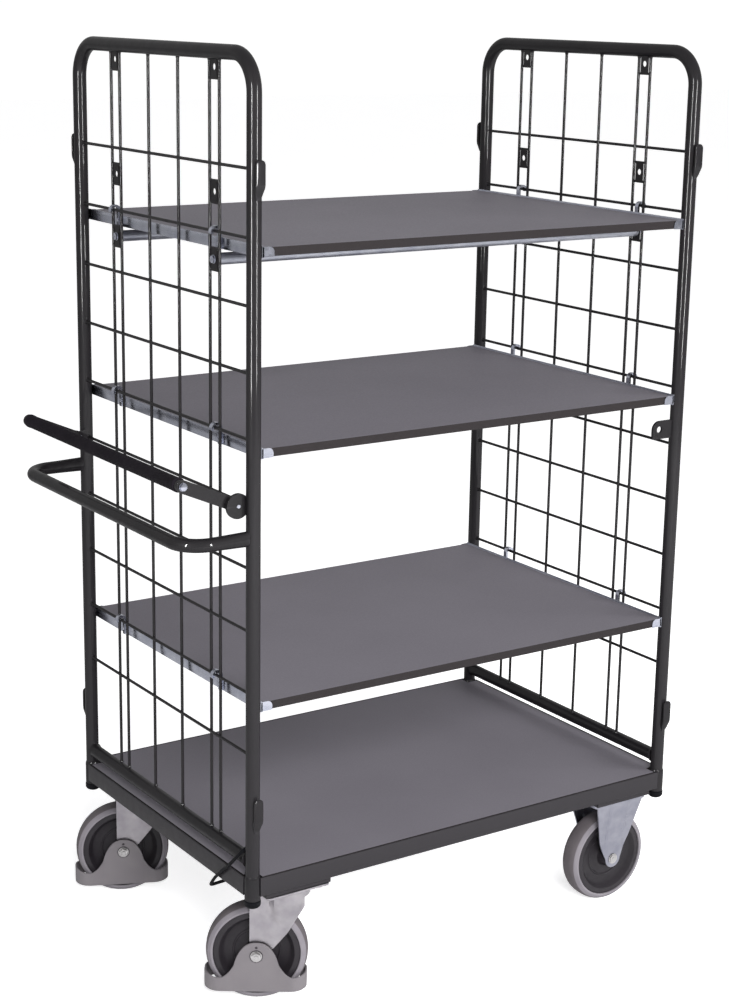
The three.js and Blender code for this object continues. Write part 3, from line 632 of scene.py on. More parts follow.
def panel_wires(shape, near, far, wire_x):
    """Level wires from post to post, and upright wires on their inner side."""
    inward = Y * (TUBE_R * 0.92)
    for row in range(WIRE_ROWS):
        z = LOWEST_WIRE + row * WIRE_PITCH
        shape.bar(with_z(near, z) + inward, with_z(far, z) - inward, WIRE_R, 16, flare=2.4 * MM)
    reach = TUBE_R * 0.9
    for y in upright_places():
        foot = Vector((wire_x, y, LOW_TUBE_Z + reach))
        head = Vector((wire_x, y, TOP_TUBE_Z - reach))
        shape.bar(foot, head, WIRE_R, 16, flare=1.8 * MM)


def panel_fittings(shape, end, near, far, wire_x):
    """Strut plates, joining hooks, and the ears or the lug."""
    hole = round_hole(0, 0, 6.2 * MM)
    for side in FLANKS.values():
        for z in PLATE_HEIGHTS:
            place = placed(Vector((wire_x, CENTRE.y + side * STRUT_Y, z)), Y, Z)
            shape.plate(strut_plate_outline(), place, 3 * MM, [hole])
    for post, out in ((near, -Y), (far, Y)):
        for low in HOOK_HEIGHTS:
            post_hook(shape, post, out, low)
    if end == "handle":
        ears(shape)
    else:
        lug(shape, near)


def panel(end):
    near, far = POSTS[end, "near"], POSTS[end, "far"]
    wire_x = near.x - ENDS[end] * WIRE_INSET
    tubes, wires, fittings = Shape(), Shape(), Shape()
    panel_tube(tubes, near, far)
    panel_wires(wires, near, far, wire_x)
    panel_fittings(fittings, end, near, far, wire_x)
    node = f"{end}_end_panel"
    make(f"{node}_tube", tubes, COAT, "frame", [node])
    make(f"{node}_wires", wires, COAT, "frame", [node])
    make(f"{node}_fittings", fittings, COAT, "frame", [node], 0.7 * MM)


def upright_places():
    offsets = (57.5 * MM, STRUT_Y - PAIR_HALF, STRUT_Y + PAIR_HALF)
    return [CENTRE.y + sign * offset for sign in (-1, 1) for offset in offsets]


EAR_R = {"near": 23.5 * MM, "far": 13 * MM}
EAR_INNER = 325 * MM
EAR_THICK = 6 * MM


def ears(shape):
    """Round ears on the handle-end posts, for the brake lever's pins."""
    for flank, side in FLANKS.items():
        pin = middle(f"lever_pivot_pin_{flank}")
        at = Vector((pin.x, CENTRE.y + side * (EAR_INNER + EAR_THICK / 2), pin.z))
        reach = POSTS["handle", flank].x - pin.x
        neck = 9 * MM
        shape.plate(round_hole(0, 0, EAR_R[flank], 48), placed(at, X, Z), EAR_THICK)
        shape.plate(
            rounded([(0, -neck, 0), (reach, -neck * 1.9, 0), (reach, neck * 1.9, 0), (0, neck, 0)]),
            placed(at, X, Z),
            EAR_THICK - MM,
        )


def lug(shape, post):
    """A flat lug with one hole, in the plane of the posts."""
    width, height, corner = 58 * MM, 38 * MM, 18 * MM
    left = -65 * MM
    outline = rounded(
        [
            (left, 0, 8 * MM),
            (left + width, 0, 0),
            (left + width, height, 0),
            (left, height, corner),
        ],
        10,
    )
    hole = round_hole(left + corner, height - corner, 7 * MM)
    place = placed(with_z(post, DECK_TOP + 738 * MM), X, Z)
    shape.plate(outline, place, 5 * MM, [hole])


def struts():
    for flank in FLANKS:
        node = f"strut_{flank}"
        low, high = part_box(node)
        half, radius = (high.x - low.x) / 2, (high.z - low.z) / 2
        bore, edge = radius - 2.5 * MM, 0.6 * MM
        side = [(bore, -half), (radius - edge, -half), (radius, edge - half)]
        profile = side + [(r, -x) for r, x in reversed(side)]
        shape = Shape()
        shape.turned(profile, middle(node), X, 48)
        make(f"{node}_tube", shape, STRUT_ZINC, "frame", [node])
        for end, sign in ENDS.items():
            machine_screw(f"strut_screw_{end}_{flank}", X * sign, 8.2 * MM, "frame")


def machine_screw(node, out, washer_r, body):
    """A hexagon screw with its washer; its head points along out."""
    low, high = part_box(node)
    half = (high - low) / 2
    head, edge = 5 * MM, MM
    face = middle(node) + out * (abs(out.dot(half)) - head)
    shape = Shape()
    washer(shape, face, out, washer_r, 1.2 * MM)
    hexagon(shape, face + out * edge, out, 13 * MM, head - edge)
    shape.bar(face - out * (20 * MM), face, 4 * MM, 20)
    make(f"{node}_head", shape, BRIGHT_ZINC, body, [node])


# ---- shelves ----
def shelf_hook(shape, y, top, outer, sign):
    """A bent bar up the outer face, over the level wire and down again, and its rivet."""
    inner, thick = 6.5 * MM, 5 * MM
    rise, lip = WIRE_ABOVE_BOARD - 2 * MM, WIRE_ABOVE_BOARD - 5 * MM
    foot = -18 * MM
    centre_x = thick + inner

    def arch(radius):
        return [(centre_x - radius * math.cos(a), rise + radius * math.sin(a)) for a in half_turns(16)]

    outline = [(0, foot), (thick, foot), *arch(inner)]
    outline += [(centre_x + inner, lip), (centre_x + inner + thick, lip)]
    outline += arch(inner + thick)[::-1]
    place = placed(Vector((outer, y, top)), X * sign, Z)
    shape.plate(outline, place, 10 * MM)
    rivet = [(0, 0), (4.2 * MM, 0), (3.6 * MM, 1.6 * MM), (1.8 * MM, 2.6 * MM), (0, 2.8 * MM)]
    shape.turned(rivet, Vector((outer + sign * thick, y, top - 6 * MM)), X * sign, 24)


def half_turns(steps):
    return [math.pi * i / steps for i in range(steps + 1)]


def shelf_profile(level, end):
    sign = ENDS[end]
    node = f"{level}_shelf_profile_{end}_end"
    top = BOARD_TOP[level]
    board_low, board_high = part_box(f"{level}_shelf_board")
    low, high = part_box(node)
    wall, sheet, tab = 4 * MM, 1.5 * MM, 25 * MM
    gap = 0.3 * MM
    board_x = board_high.x if sign > 0 else board_low.x
    outer = board_x + sign * (wall + gap)
    strip, hooks = Shape(), Shape()
    rise, drop = 3 * MM, 18.5 * MM
    section = rounded(
        [
            (0, rise, 0.9 * MM),
            (-2 * MM, rise, 0.9 * MM),
            (-2 * MM, gap, 0.2 * MM),
            (-wall, gap, 0.5 * MM),
            (-wall, -drop, 0.9 * MM),
            (0, -drop, 1.4 * MM),
        ],
        4,
    )
    centre = Vector((outer, (low.y + high.y) / 2, top))
    strip.plate(section, placed(centre, X * sign, Z), high.y - low.y)
    under, over, corner = -17 * MM, MM, 10 * MM
    outline = rounded(
        [(-MM, under, 0), (-MM, over, 0.8 * MM), (-tab, over, corner), (-tab, under, 2 * MM)], 8
    )
    for y in (low.y + sheet / 2, high.y - sheet / 2):
        strip.plate(outline, placed(Vector((outer, y, top)), X * sign, Z), sheet)
    hook_y = 198 * MM
    for side in FLANKS.values():
        shelf_hook(hooks, CENTRE.y + side * hook_y, top, outer, sign)
    body = f"{level}_shelf"
    make(f"{node}_strip", strip, BRIGHT_ZINC, body, [node], 0.35 * MM)
    make(f"{node}_hooks", hooks, BRIGHT_ZINC, body, [node], 1.6 * MM)


def shelves():
    keep("deck_board", LAMINATE, 0.6 * MM)
    for level in LEVELS:
        keep(f"{level}_shelf_board", LAMINATE, 0.6 * MM)
        for end in ENDS:
            shelf_profile(level, end)


# ---- push handle and brake lever ----
def push_handle():
    """A bow of tube whose ends are squeezed to an upright oval where they meet the posts."""
    low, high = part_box("push_handle")
    radius, z = (high.z - low.z) / 2, (low.z + high.z) / 2
    near, far = POSTS["handle", "near"], POSTS["handle", "far"]
    end_x, bar_x = near.x - TUBE_R * 0.85, low.x + radius
    corners = ((end_x, near.y), (bar_x, near.y), (bar_x, far.y), (end_x, far.y))
    line = bent_line([Vector((x, y, z)) for x, y in corners], 52 * MM, 16)
    oval = 62 * MM
    steps = [X * (oval * i / 6) for i in range(1, 6)]
    opening = [(line[0][0] - step, -X) for step in steps]
    closing = [(line[-1][0] - step, X) for step in reversed(steps)]
    stations = line[:1] + opening + line[1:-1] + closing + line[-1:]
    squeeze = []
    for point, _ in stations:
        share = min((end_x - point.x) / oval, 1)
        squeeze.append((0.72 + 0.28 * share, 1.14 - 0.14 * share))
    shape = Shape()
    shape.sweep(stations, radius, 40, up=Z, flatten=squeeze)
    make("push_handle_bow", shape, COAT, "frame", ["push_handle"])


def lever():
    grip = middle("grip_tube")
    low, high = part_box("grip_sleeve")
    half = (high.y - low.y) / 2
    radius, lip, collar = TUBE_R, 1.2 * MM, 9 * MM
    side = [
        (11.3 * MM, -half),
        (radius - lip, -half),
        (radius, lip - half),
        (radius, collar - half),
        (radius - 0.5 * MM, collar + lip - half),
    ]
    profile = side + [(r, -y) for r, y in reversed(side)]
    sleeve_shape = Shape()
    sleeve_shape.turned(profile, Vector((grip.x, (low.y + high.y) / 2, grip.z)), Y, 48)
    make("grip_sleeve_foam", sleeve_shape, FOAM, "brake_lever", ["grip_sleeve"])

    low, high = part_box("grip_tube")
    tube = Shape()
    tube.bar(Vector((grip.x, low.y, grip.z)), Vector((grip.x, high.y, grip.z)), 11 * MM, 40)
    make("grip_tube_core", tube, COAT, "brake_lever", ["grip_tube"])
    for flank, side in FLANKS.items():
        lever_arm(flank, grip)
        machine_screw(f"grip_screw_{flank}", Y * side, 8 * MM, "brake_lever")
        pivot_pin(flank, side)


def lever_arm(flank, grip):
    """A flat bar with round ends, from the pivot to the grip."""
    node = f"lever_arm_{flank}"
    low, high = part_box(node)
    pin = middle(f"lever_pivot_pin_{flank}")
    pivot = Vector((pin.x, (low.y + high.y) / 2, pin.z))
    reach = Vector((grip.x - pivot.x, 0, grip.z - pivot.z))
    along = reach.normalized()
    half = 12 * MM
    outline = [(half * -math.sin(a), half * math.cos(a)) for a in half_turns(20)]
    outline += [(reach.length + half * math.sin(a), half * -math.cos(a)) for a in half_turns(20)]
    shape = Shape()
    shape.plate(outline, placed(pivot, along, along.cross(Y)), high.y - low.y)
    make(f"{node}_strap", shape, COAT, "brake_lever", [node], 0.8 * MM)


def pivot_pin(flank, side):
    """A rivet through the ear and the arm, with its cap on the inner side."""
    node = f"lever_pivot_pin_{flank}"
    low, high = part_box(node)
    inner = low.y if side > 0 else high.y
    radius, edge, cap, length = 4 * MM, 0.8 * MM, 7 * MM, high.y - low.y
    profile = [(0, 0), (cap - edge, 0), (cap, edge), (cap, 2.4 * MM), (radius, 3 * MM)]
    profile += [(radius, length - edge), (radius - edge, length), (0, length)]
    shape = Shape()
    shape.turned(profile, Vector((middle(node).x, inner, middle(node).z)), Y * side, 36)
    make(f"{node}_rivet", shape, BRIGHT_ZINC, "frame", [node])


def smooth_line(points, steps=8):
    """Stations (point, direction) along a curve that runs smoothly through every point."""
    padded = [2 * points[0] - points[1], *points, 2 * points[-1] - points[-2]]
    curve = []
    for before, start, end, after in zip(padded, padded[1:], padded[2:], padded[3:]):
        first_handle = start + (end - before) / 6
        second_handle = end - (after - start) / 6
        curve += interpolate_bezier(start, first_handle, second_handle, end, steps)[:-1]
    curve.append(points[-1])
    nearby = zip(curve, curve[1:2] + curve[:-1], curve[1:] + curve[-1:])
    stations = []
    for point, previous, following in nearby:
        back = previous if point is not curve[0] else point
        stations.append((point, (following - back).normalized()))
    return stations


CABLE_R = 3.2 * MM
CABLE_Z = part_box("link_brake_cable")[0].z + CABLE_R


def lever_cable_points():
    """Out of the post's inner side, round in a loop outside the frame, into the channel."""
    post = POSTS["handle", "near"]
    reach = [
        (-6, 12, DECK_TOP + 56 * MM),
        (-14, 15, DECK_TOP + 49 * MM),
        (-19, 26, DECK_TOP + 35 * MM),
        (-21, 54, DECK_TOP + 7 * MM),
        (-21, 100, DECK_TOP - 33 * MM),
        (-20, 122, DECK_TOP - 57 * MM),
        (-15, 129, DECK_TOP - 64 * MM),
        (-5, 122, DECK_TOP - 60 * MM),
        (11, 106, DECK_TOP - 50 * MM),
        (24, 99, CABLE_Z),
        (38, 96, CABLE_Z),
        (90, 58, CABLE_Z),
    ]
    return [Vector((post.x + x * MM, post.y + y * MM, z)) for x, y, z in reach]


def link_cable_points():
    """Along the channel from one castor to the other."""
    low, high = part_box("link_brake_cable")
    straight, end = low.x + CABLE_R, high.x - CABLE_R
    sides = (low.y + CABLE_R, low.y + 66 * MM, CENTRE.y, high.y - 66 * MM, high.y - CABLE_R)
    across = (end, straight, straight, straight, end)
    return [Vector((x, y, CABLE_Z)) for x, y in zip(across, sides)]


def cables():
    for node, points in (
        ("lever_brake_cable", lever_cable_points()),
        ("link_brake_cable", link_cable_points()),
    ):
        sheath = Shape()
        sheath.sweep(smooth_line(points), CABLE_R, 16)
        make(f"{node}_sheath", sheath, BLACK_PLASTIC, "frame", [node])


# ---- castors ----
WHEEL_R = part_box("fixed_wheel_near_tyre")[1].z / 2
HEAD_R = 50 * MM
FORK_INNER = 27 * MM
FORK_OUTER = 31 * MM
FORK_WALL = FORK_OUTER - FORK_INNER


def castor_place(flank):
    """Swivel axis, direction of the trailing wheel, and trail, of one swivel castor."""
    axis = with_z(middle(f"ball_ring_{flank}"), 0)
    axle = with_z(middle(f"swivel_axle_bolt_{flank}"), 0)
    way = axle - axis
    return axis, way.normalized(), way.length


def leg_edges(z, trail):
    """Front and back edge of a swivel fork's leg at a height above the axle."""
    foot, behind = 16 * MM, 13.5 * MM
    if z < 0:
        half = math.sqrt(max(foot * foot - z * z, 0))
        return trail - half, trail + min(half, behind)
    knee, shoulder = (14 * MM, -33 * MM), (48 * MM, -61 * MM)
    front = between([(0, -foot), knee, shoulder, (87 * MM, -83 * MM), (104 * MM, -93 * MM)], z)
    return trail + front, trail + behind


def swivel_leg(shape, place, side, top, trail):
    """One pressed leg: flat behind its crease, and swelling to the round head in front."""
    low_bell, high_bell = top - 75 * MM, top - 14 * MM
    crease = trail - 24 * MM
    heights = [-16 * MM * math.cos(a) for a in quarter_turns(8)]
    heights += [(top - WHEEL_R) * i / 26 for i in range(1, 27)]
    rings = []
    for above in heights:
        z = WHEEL_R + above
        front, back = leg_edges(above, trail)
        front = max(front, -HEAD_R)
        bell = between([(low_bell, FORK_OUTER), (high_bell, HEAD_R)], z)
        outer, inner = [], []
        for i in range(21):
            x = front + (back - front) * i / 20
            ease = min(max((crease - x) / (10 * MM), 0), 1)
            swell = math.sqrt(max(bell * bell - x * x, 0)) - FORK_OUTER
            y = FORK_OUTER + max(swell, 0) * ease * ease * (3 - 2 * ease)
            outer.append(place @ Vector((x, side * y, z)))
            inner.append(place @ Vector((x, side * (y - FORK_WALL), z)))
        rings.append(outer + inner[::-1])
    shape.skin(rings)


def ring(shape, inner, outer, low, high, axis, facets=72):
    """A flat ring about an upright axis."""
    section = [(inner, low), (outer, low), (outer, high), (inner, high)]
    shape.turned(section, axis, Z, facets)


def swivel_fork(flank, place, axis, trail, body):
    """Two legs under a round head with a web; returns the height of the web's top."""
    node = f"swivel_fork_{flank}"
    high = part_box(node)[1]
    web_top = high.z - 7.5 * MM
    fork = Shape()
    for side in (-1, 1):
        swivel_leg(fork, place, side, web_top - MM, trail)
    bore, rim_low = HEAD_R - 4 * MM, web_top - 8 * MM
    rim = [
        (bore, rim_low),
        (HEAD_R - MM, rim_low),
        (HEAD_R, rim_low + MM),
        (HEAD_R, high.z - 2 * MM),
        (HEAD_R - 0.6 * MM, high.z - 0.6 * MM),
        (HEAD_R - 2 * MM, high.z),
        (bore, high.z - MM),
    ]
    fork.turned(rim, axis, Z, 72)
    web_thick = 6 * MM
    ring(fork, 8.9 * MM, HEAD_R - MM, web_top - web_thick, web_top, axis)
    back, front, soft = trail + 13.5 * MM, -MM, 3 * MM
    half = FORK_OUTER
    web = rounded([(front, -half, 0), (back, -half, soft), (back, half, soft), (front, half, 0)])
    fork.plate(web, place @ Matrix.Translation((0, 0, web_top - web_thick / 2)), web_thick)
    make(f"{node}_pressing", fork, FORK_ZINC, body, [node], 0.5 * MM)
    return web_top


def ball_ring(flank, axis, body):
    node = f"ball_ring_{flank}"
    low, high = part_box(node)
    inner, outer, edge = 31 * MM, 42 * MM, MM
    section = [
        (inner, low.z),
        (outer - edge, low.z),
        (outer, low.z + edge),
        (outer, high.z - edge),
        (outer - edge, high.z),
        (inner, high.z),
    ]
    shape = Shape()
    shape.turned(section, axis, Z, 64)
    make(f"{node}_seal", shape, STRUT_ZINC, body, [node])


def swivel_castor(flank):
    axis, way, trail = castor_place(flank)
    place = placed(axis, way, Z.cross(way))
    body = f"swivel_{flank}"
    web_top = swivel_fork(flank, place, axis, trail, body)
    top_plate(f"swivel_plate_{flank}", axis, web_top)
    ball_ring(flank, axis, body)
    foot_guard(flank, place, trail, body)
    axle_place = place @ Matrix.Translation((trail, 0, WHEEL_R))
    axle_bolt(f"swivel_axle_bolt_{flank}", axle_place, 38 * MM, 8 * MM, body)
    wheel(f"swivel_wheel_{flank}", axle_place, FORK_INNER - 0.6 * MM)
    keep(f"brake_shoe_{flank}", BLACK_PLASTIC, 0.8 * MM)


PLATE_HALF_X, PLATE_HALF_Y = 70 * MM, 55 * MM


def plate_bolts(shape, centre, under):
    for x in (-52.5 * MM, 52.5 * MM):
        for y in (-40 * MM, 40 * MM):
            face = Vector((centre.x + x, centre.y + y, under))
            washer(shape, face, -Z, 9.5 * MM, 1.4 * MM)
            hexagon(shape, face - Z * MM, -Z, 13 * MM, 5 * MM)


def top_plate(node, axis, web_top):
    """The square plate that bolts under a channel, with the kingpin that holds the fork."""
    low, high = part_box(node)
    thick = 4 * MM
    outline = soft_rectangle(PLATE_HALF_X, PLATE_HALF_Y, 7 * MM, 6)
    shape = Shape()
    shape.plate(outline, Matrix.Translation(with_z(axis, high.z - thick / 2)), thick)
    plate_bolts(shape, axis, high.z - thick)
    foot, bore, pin, head, shoulder = low.z, 4.2 * MM, 8.5 * MM, 14 * MM, web_top - 6.4 * MM
    profile = [
        (bore, foot),
        (head - MM, foot),
        (head, foot + MM),
        (head, shoulder),
        (pin, shoulder + 0.1 * MM),
        (pin, high.z - thick + MM),
        (bore, high.z - thick + MM),
    ]
    shape.turned(profile, axis, Z, 48)
    make(f"{node}_pressing", shape, FORK_ZINC, "frame", [node], 0.5 * MM)


def guard_top(distance):
    """Height of the guard's upper edge at a distance along the wheel from the axle."""
    dip, shoulder, peak, end = 53 * MM, 82 * MM, 128 * MM, 58 * MM
    dome_half, dip_half, half_long = 43 * MM, 73 * MM, 101 * MM
    away = abs(distance)
    if away > dip_half:
        share = min((away - dip_half) / (half_long - dip_half), 1)
        return dip + (end - dip) * share * share
    if away > dome_half:
        share = (dip_half - away) / (dip_half - dome_half)
        return dip + (shoulder - dip) * share ** 1.9
    share = away / dome_half
    return shoulder + (peak - shoulder) * (1 - share ** 2.4) ** 0.72


SIDE_STEPS = 56


def guard_rim(half_long, half_wide, corner, steps=9):
    """The guard's plan, as points and outward directions, evenly close along the sides."""
    rim = []
    for turn, (sx, sy) in enumerate(((1, 1), (-1, 1), (-1, -1), (1, -1))):
        centre = Vector((sx * (half_long - corner), sy * (half_wide - corner), 0))
        for step in range(steps + 1):
            a = math.pi / 2 * (turn + step / steps)
            out = Vector((math.cos(a), math.sin(a), 0))
            rim.append((centre + out * corner, out))
        if turn in (0, 2):
            across = 2 * (half_long - corner)
            sign = -sx
            for step in range(1, SIDE_STEPS):
                at = centre + Vector((0, corner * sy, 0)) + X * (sign * across * step / SIDE_STEPS)
                rim.append((at, Y * sy))
    return rim


def foot_guard(flank, place, trail, body):
    """A ring of plastic round the wheel, rising to the axle on both sides."""
    node = f"foot_guard_{flank}"
    half_wide, wall, lip = 38 * MM, 4 * MM, 1.4 * MM
    shift, bottom = 2.5 * MM, 24 * MM
    centre = Vector((trail + shift, 0, 0))
    rings = []
    for at, out in guard_rim(100.8 * MM, half_wide, 32 * MM):
        top = guard_top(at.x + shift)
        section = [
            (-wall, bottom + lip),
            (lip - wall, bottom),
            (-lip, bottom),
            (0, bottom + lip),
            (0, top - lip),
            (-lip, top),
            (lip - wall, top),
            (-wall, top - lip),
        ]
        rings.append([place @ (centre + at + out * o + Z * z) for o, z in section])
    shape = Shape()
    shape.skin(rings, loop=True)
    make(f"{node}_ring", shape, GUARD_PLASTIC, body, [node])
    for side, name in ((-1, "a"), (1, "b")):
        out = (place.to_3x3() @ Y) * side
        face = place @ Vector((trail, side * (half_wide - 0.6 * MM), WHEEL_R))
        seat = Shape()
        washer(seat, face, out, 13 * MM, 1.6 * MM)
        washer(seat, face + Z * (18 * MM), out, 2.6 * MM, 0.9 * MM)
        make(f"{node}_seat_{name}", seat, HUB_PLASTIC, body)


def axle_bolt(node, place, face, reach, body):
    """A bolt through the axle with a washer and a hexagon at each end, and its thread's tip."""
    shape = Shape()
    across = place.to_3x3() @ Y
    centre = place.translation
    shape.bar(centre - across * face, centre + across * face, 6 * MM, 28)
    for side in (-1, 1):
        out = across * side
        washer(shape, centre + out * (face + 0.3 * MM), out, 11.5 * MM, 1.5 * MM)
        hexagon(shape, centre + out * (face + 1.4 * MM), out, 17 * MM, reach - 2.6 * MM)
        tip = [(0, 0), (5 * MM, 0), (5 * MM, 0.8 * MM), (4.2 * MM, 1.6 * MM), (0, 1.6 * MM)]
        shape.turned(tip, centre + out * (face + reach - 1.6 * MM), out, 24)
    make(f"{node}_set", shape, BOLT_ZINC, body, [node])


TYRE_HALF = 24 * MM
HUB_RIM_R = 85.5 * MM


def wheel(name, place, hub_half):
    axle = place.to_3x3() @ Y
    tyre(name, place.translation, axle)
    hub(name, place.translation, axle, hub_half)


def tyre(name, centre, axle):
    """A rubber tyre with a crowned tread; the tread is coloured darker than the side walls, a painted
    shade.
    """
    side = [
        (HUB_RIM_R + 0.4 * MM, TYRE_HALF - 1.2 * MM),
        (HUB_RIM_R + 1.6 * MM, TYRE_HALF - 0.4 * MM),
        (WHEEL_R - 10 * MM, TYRE_HALF - 0.7 * MM),
        (WHEEL_R - 8.6 * MM, TYRE_HALF - 2.0 * MM),
        (WHEEL_R - 6 * MM, TYRE_HALF - 3.2 * MM),
        (WHEEL_R - 3.4 * MM, TYRE_HALF - 6 * MM),
        (WHEEL_R - 1.6 * MM, TYRE_HALF - 9.6 * MM),
        (WHEEL_R - 0.5 * MM, TYRE_HALF - 14 * MM),
        (WHEEL_R, TYRE_HALF - 19 * MM),
    ]
    shape = Shape()
    shape.turned(side + [(r, -h) for r, h in reversed(side)], centre, axle, 120)
    obj = make(f"{name}_tyre_tread", shape, TYRE_RUBBER, name, [f"{name}_tyre"])
    obj.data.materials.append(TREAD_RUBBER_PAINTED_SHADE)
    # the tread faces take the darker rubber: painted shade
    for face in obj.data.polygons:
        reach = face.center - centre
        if abs(reach.dot(axle)) < TYRE_HALF - 7 * MM and reach.length > WHEEL_R - 6 * MM:
            face.material_index = 1


def hub(name, centre, axle, boss):
    """A dished hub: boss, thin disc with a raised ring, and a deep rim under the tyre."""
    disc, rim = 8.5 * MM, 21.4 * MM
    side = [
        (6.4 * MM, boss),
        (17 * MM, boss),
        (20 * MM, boss - 1.4 * MM),
        (24 * MM, disc + 2 * MM),
        (27 * MM, disc),
        (43 * MM, disc),
        (44.5 * MM, disc + 1.6 * MM),
        (46.5 * MM, disc + 1.6 * MM),
        (48 * MM, disc),
        (63 * MM, disc),
        (68 * MM, disc + 3 * MM),
        (72 * MM, disc + 11 * MM),
        (74.5 * MM, rim),
        (82 * MM, rim),
        (HUB_RIM_R, rim - 1.4 * MM),
    ]
    shape = Shape()
    shape.turned(side + [(r, -h) for r, h in reversed(side)], centre, axle, 96)
    make(f"{name}_hub_disc", shape, HUB_PLASTIC, name, [f"{name}_hub"])


FIXED_OUTER = 34.5 * MM
FIXED_WALL = 3.5 * MM


def fixed_leg(shape, place, side, under):
    """One leg of the fixed fork: leans in from the plate's edge to the axle, with two creases."""
    foot = 20 * MM
    lean = [(WHEEL_R + 26 * MM, FIXED_OUTER), (under + MM, PLATE_HALF_Y - 0.6 * MM)]
    edges = [(WHEEL_R, foot), (WHEEL_R + 46 * MM, 40 * MM), (under, 63 * MM)]
    crease, soft, depth = 23 * MM, 2 * MM, 3 * MM
    heights = [WHEEL_R - foot * math.cos(a) for a in quarter_turns(9)]
    heights += [WHEEL_R + (under + MM - WHEEL_R) * i / 34 for i in range(1, 35)]
    rings = []
    for z in heights:
        below = max(WHEEL_R - z, 0)
        half = math.sqrt(max(foot * foot - below * below, 0)) if below else between(edges, z)
        fade = between([(WHEEL_R, 0.0), (WHEEL_R + 40 * MM, 1.0), (under, 1.0)], z)
        outer, inner = [], []
        for i in range(41):
            x = -half + 2 * half * i / 40
            step = min(max((abs(x) - crease) / soft, 0), 1)
            y = between(lean, z) - depth * fade * step
            outer.append(place @ Vector((x, side * y, z)))
            inner.append(place @ Vector((x, side * (y - FIXED_WALL), z)))
        rings.append(outer + inner[::-1])
    shape.skin(rings)


def fixed_castor(flank):
    node = f"fixed_fork_{flank}"
    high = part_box(node)[1].z
    axis = with_z(middle(node), 0)
    place = Matrix.Translation(axis)
    thick, rim, corner, wall = 4 * MM, 3 * MM, 12 * MM, FIXED_WALL
    under = high - thick
    outline = soft_rectangle(PLATE_HALF_X, PLATE_HALF_Y, corner)
    inside = soft_rectangle(PLATE_HALF_X - wall, PLATE_HALF_Y - wall, corner - wall)
    shape = Shape()
    shape.plate(outline, Matrix.Translation(with_z(axis, under + thick / 2)), thick)
    rim_middle = with_z(axis, under - 0.2 * MM - rim / 2)
    shape.plate(outline, Matrix.Translation(rim_middle), rim, [inside])
    plate_bolts(shape, axis, under)
    for side in (-1, 1):
        fixed_leg(shape, place, side, under)
    make(f"{node}_pressing", shape, PLATE_ZINC, "frame", [node], 1.2 * MM)
    axle_place = place @ Matrix.Translation((0, 0, WHEEL_R))
    axle_bolt(f"fixed_axle_bolt_{flank}", axle_place, FIXED_OUTER, 5 * MM, "frame")
    wheel(f"fixed_wheel_{flank}", axle_place, FIXED_OUTER - FIXED_WALL - 0.6 * MM)


# ---- studio ----
def floor():
    """White, and a little brighter to the camera than to the parts that it lights."""
    bpy.ops.mesh.primitive_plane_add(size=60, location=(0, 0, 0))
    plane = bpy.context.object
    plane.name = "floor"
    pale = Finish("pale_floor", (246, 246, 247), 0.95)
    pale.shader.inputs["Specular IOR Level"].default_value = 0.0
    pale.colour(pale.mix(pale.levels(pale.noise(0.6), 0.0, 1.0), (246, 246, 247), (249, 249, 250)))
    pale.shader.inputs["Emission Color"].default_value = (1, 1, 1, 1)
    seen = pale.node("ShaderNodeLightPath").outputs["Is Camera Ray"]
    glow = pale.node("ShaderNodeMapRange")
    glow.inputs["To Min"].default_value = 0.02
    glow.inputs["To Max"].default_value = 0.62
    pale.link(seen, glow.inputs["Value"])
    pale.link(glow.outputs["Result"], pale.shader.inputs["Emission Strength"])
    plane.data.materials.append(pale.material)


def coated_pieces():
    """The powder-coated pieces, which alone get the strips' narrow highlights."""
    coated = bpy.data.collections.new("coated")
    for obj in bpy.data.objects:
        if obj.type == "MESH" and COAT.name in obj.data.materials:
            coated.objects.link(obj)
    return coated


def soft_box(name, spot, aim, size, power, highlights_on=None):
    """A rectangular lamp: lights matt surfaces, or only draws highlights on some pieces."""
    light = bpy.data.lights.new(name, "AREA")
    light.shape = "RECTANGLE"
    light.size, light.size_y = size
    light.energy = power
    lamp = bpy.data.objects.new(name, light)
    bpy.context.scene.collection.objects.link(lamp)
    lamp.location = Vector(spot)
    lamp.rotation_mode = "QUATERNION"
    lamp.rotation_quaternion = (Vector(spot) - Vector(aim)).to_track_quat("Z", "Y")
    lamp.visible_camera = False
    lamp.visible_diffuse = highlights_on is None
    lamp.visible_glossy = not lamp.visible_diffuse
    lamp.light_linking.receiver_collection = highlights_on


def studio():
    """A pale floor, a bright even room, two low soft boxes and two strips for the tubes."""
    floor()
    room()
    coated = coated_pieces()
    soft_box("strip_left", (-2.6, -1.3, 1.6), (-0.4, -0.2, 1.6), (0.12, 1.6), 130, coated)
    soft_box("strip_right", (0.3, -3.0, 1.6), (0, -0.3, 1.6), (0.12, 1.6), 130, coated)
    soft_box("key", (-1.7, -5.0, 3.2), (0, 0, 0.9), (2.6, 2.0), 420)
    soft_box("fill", (3.6, -4.0, 2.6), (0, 0, 0.7), (2.6, 1.8), 170)


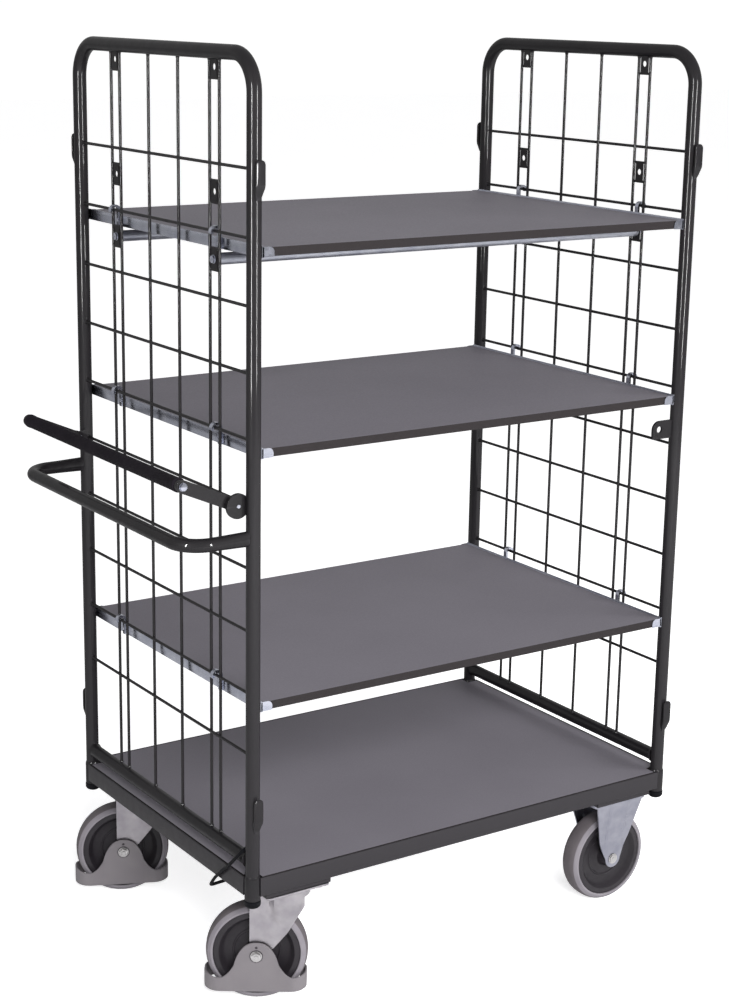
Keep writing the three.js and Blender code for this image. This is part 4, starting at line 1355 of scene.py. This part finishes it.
def room():
    """A white room, brightest at the horizon, so that the shelves are lit alike."""
    world = bpy.data.worlds.new("room")
    bpy.context.scene.world = world
    world.use_nodes = True
    tree = world.node_tree

    def blend(share, first, second):
        made = tree.nodes.new("ShaderNodeMix")
        tree.links.new(share, made.inputs["Factor"])
        for value, socket in ((first, made.inputs["A"]), (second, made.inputs["B"])):
            if isinstance(value, float):
                socket.default_value = value
            else:
                tree.links.new(value, socket)
        return made.outputs["Result"]

    direction = tree.nodes.new("ShaderNodeTexCoord").outputs["Generated"]
    parts = tree.nodes.new("ShaderNodeSeparateXYZ")
    tree.links.new(direction, parts.inputs["Vector"])
    rays = tree.nodes.new("ShaderNodeLightPath").outputs
    matt = blend(parts.outputs["Z"], 1.1, 0.05)
    strength = blend(rays["Is Glossy Ray"], matt, 0.66)
    strength = blend(rays["Is Camera Ray"], strength, 1.02)
    background = tree.nodes["Background"]
    background.inputs["Color"].default_value = (1, 1, 1, 1)
    tree.links.new(strength, background.inputs["Strength"])


def camera():
    """A 71 mm lens at eye height, off the corner between the handle end and an open side."""
    data = bpy.data.cameras.new("camera")
    data.lens, data.sensor_width = 70.75, 36
    obj = bpy.data.objects.new("camera", data)
    bpy.context.scene.collection.objects.link(obj)
    obj.location = with_z(CENTRE, 0) + Vector((-2.2562, -3.2774, 1.9096))
    azimuth, elevation, roll = (math.radians(a) for a in (34.083, 14.383, 0.96))
    level = math.cos(elevation)
    look = Vector((math.sin(azimuth) * level, math.cos(azimuth) * level, -math.sin(elevation)))
    obj.rotation_mode = "QUATERNION"
    tilt = Matrix.Rotation(roll, 3, "Z").to_quaternion()
    obj.rotation_quaternion = look.to_track_quat("-Z", "Y") @ tilt
    bpy.context.scene.camera = obj
    bpy.context.scene.view_settings.view_transform = "Standard"


deck_frame()
corner_caps()
for channel in ("castor_channel_handle_end", "castor_channel_fixed_end"):
    keep(channel, COAT, 1.2 * MM)
for end_name in ENDS:
    panel(end_name)
struts()
shelves()
push_handle()
lever()
cables()
for flank_name in FLANKS:
    swivel_castor(flank_name)
    fixed_castor(flank_name)
studio()
camera()

bpy.context.view_layer.update()
